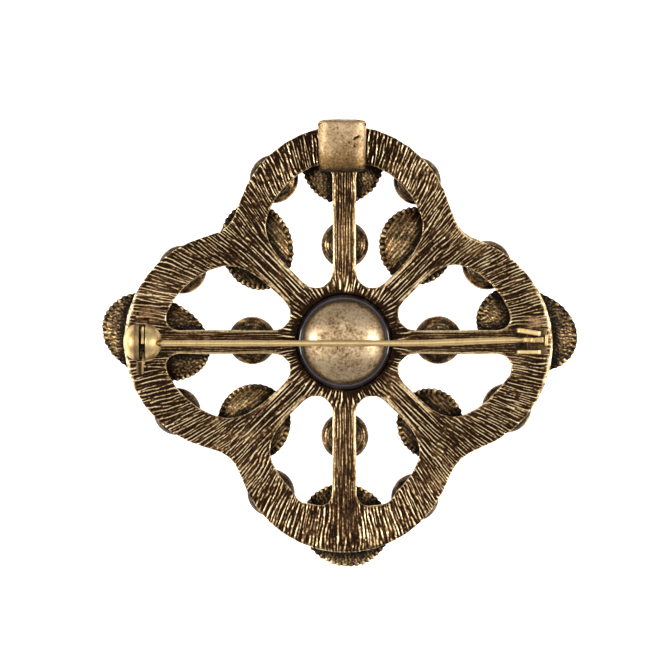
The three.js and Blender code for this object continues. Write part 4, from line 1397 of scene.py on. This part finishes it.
def make_pin(material):
    low, high = box_mm("pin")
    tip = low[0] + PIN_SHORTER
    angle = full_turn(PIN_SIDES)
    wire_end = RIVET[0] - EYE_HOLE_RADIUS - 0.1
    wire = []
    tapered = tip + PIN_TAPER_LENGTH * np.linspace(0, 1, 10) ** 2
    for x in np.append(tapered, np.linspace(tip + 2 * PIN_TAPER_LENGTH, wire_end, PIN_STEPS)):
        y = pin_line(x) + pin_radius(x - tip) * np.cos(angle)
        z = RIVET[2] + pin_radius(x - tip) * np.sin(angle)
        wire.append(np.column_stack([np.full_like(angle, x), y, z]))
    middle = pin_line(RIVET[0])
    half = EYE_THICKNESS / 2
    section = [(EYE_HOLE_RADIUS, half - 0.1), (EYE_HOLE_RADIUS + 0.08, half), (EYE_RADIUS - 0.12, half)]
    section += [(EYE_RADIUS, half - 0.14)]
    eye_levels = [(radius, middle - y) for radius, y in section]
    eye_levels += [(radius, middle + y) for radius, y in reversed(section)]
    eye = turned_shell(eye_levels, 1, RIVET, EYE_SIDES, joined_ends=True)
    tail_low = (RIVET[0] + TAIL_START, middle - half, RIVET[2] - TAIL_HEIGHT / 2)
    tail = block_between(tail_low, (high[0], middle + half, RIVET[2] + TAIL_HEIGHT / 2))
    mesh = united([stacked_rings(wire), eye, tail])
    x, y, z = mesh_points(mesh).T
    # Painted shade on the underside of the wire and eye; the eye and tail are also darker
    under = 1 - smooth_share(z, RIVET[2] - 0.3, RIVET[2] + 0.3)
    patina_and_shade = 0.02 + 0.35 * under + 0.2 * (x > wire_end - 0.3)
    add_fitting("pin_wire", "pin", "pin", mesh, patina_and_shade, material)


# Scene

def make_camera():
    camera_data = bpy.data.cameras.new("camera")
    camera = bpy.data.objects.new("camera", camera_data)
    bpy.context.scene.collection.objects.link(camera)
    width = PHOTO_PIXELS / PIXELS_PER_MM
    camera_data.sensor_width = SENSOR_WIDTH
    camera_data.lens = SENSOR_WIDTH * CAMERA_DISTANCE / width
    camera_data.clip_end = CAMERA_REACH
    camera.location = Vector((*(HUB + PHOTO_MIDDLE), FRAME_BACK + CAMERA_DISTANCE)) * MM
    bpy.context.scene.camera = camera


def add_softbox(name, place, size, radiance):
    """A lamp that faces the middle of the floor."""
    light = bpy.data.lights.new(name, "AREA")
    light.shape = "RECTANGLE"
    light.size = size[0]
    light.size_y = size[1]
    light.energy = radiance * math.pi * size[0] * size[1]
    lamp = bpy.data.objects.new(name, light)
    lamp.location = place
    lamp.rotation_euler = (-Vector(place)).to_track_quat("-Z", "Y").to_euler()
    bpy.context.scene.collection.objects.link(lamp)


def make_floor():
    material, tree, shader = new_material("floor")
    tone = ramp_colour(tree, noise_value(tree, 40.0), [(0.3, (0.90, 0.90, 0.90)), (0.7, (0.93, 0.93, 0.93))])
    tree.links.new(tone, shader.inputs["Base Color"])
    shader.inputs["Roughness"].default_value = 0.8
    shader.inputs["Emission Color"].default_value = (1, 1, 1, 1)
    shader.inputs["Emission Strength"].default_value = FLOOR_GLOW
    corners = [(FLOOR_HALF * a, FLOOR_HALF * b, 0) for a, b in ((-1, -1), (1, -1), (1, 1), (-1, 1))]
    mesh = mesh_from(corners, [range(4)])
    mesh.name = "floor"
    mesh.materials.append(material)
    floor = bpy.data.objects.new("floor", mesh)
    floor.location.z = -FLOOR_BELOW
    bpy.context.scene.collection.objects.link(floor)


def make_studio():
    scene = bpy.context.scene
    scene.view_settings.view_transform = "Standard"
    world = bpy.data.worlds.new("studio")
    world.use_nodes = True
    world.node_tree.nodes["Background"].inputs["Color"].default_value = WORLD_TONE
    scene.world = world
    for name, (place, size, radiance) in LAMPS.items():
        add_softbox(name, place, size, radiance)
    make_floor()


def make_brooch():
    frame_depth = FrameDepth()
    make_frame(frame_depth, cast_brass())
    beaded_brass = cup_brass("cup_brass_beaded", 0.32, 0.58)
    turned_brass = cup_brass("cup_brass_turned", 0.16, 0.3)
    nodes = sorted(frame["nodes"])
    for number, node in enumerate(n for n in nodes if n.startswith(("lobe_cup", "corner_cup"))):
        make_scalloped_cup(node, number, frame_depth, beaded_brass)
    for number, node in enumerate(n for n in nodes if n.startswith(("spoke_cup", "ring_cup"))):
        make_small_cup(node, number, frame_depth, turned_brass)
    make_boss(satin_brass("satin_brass_mottled", 0.32, 0.3, DOME_TONES), dark_gloss())
    make_bail(satin_brass("satin_brass_plain", 0.1, 0.14, BAIL_TONES, 3400.0, (0.6, 0.68)))
    yellow = yellow_brass()
    make_catch(yellow)
    make_lever(yellow)
    make_pin_joint(yellow)
    make_pin(yellow)


make_camera()
make_studio()
make_brooch()
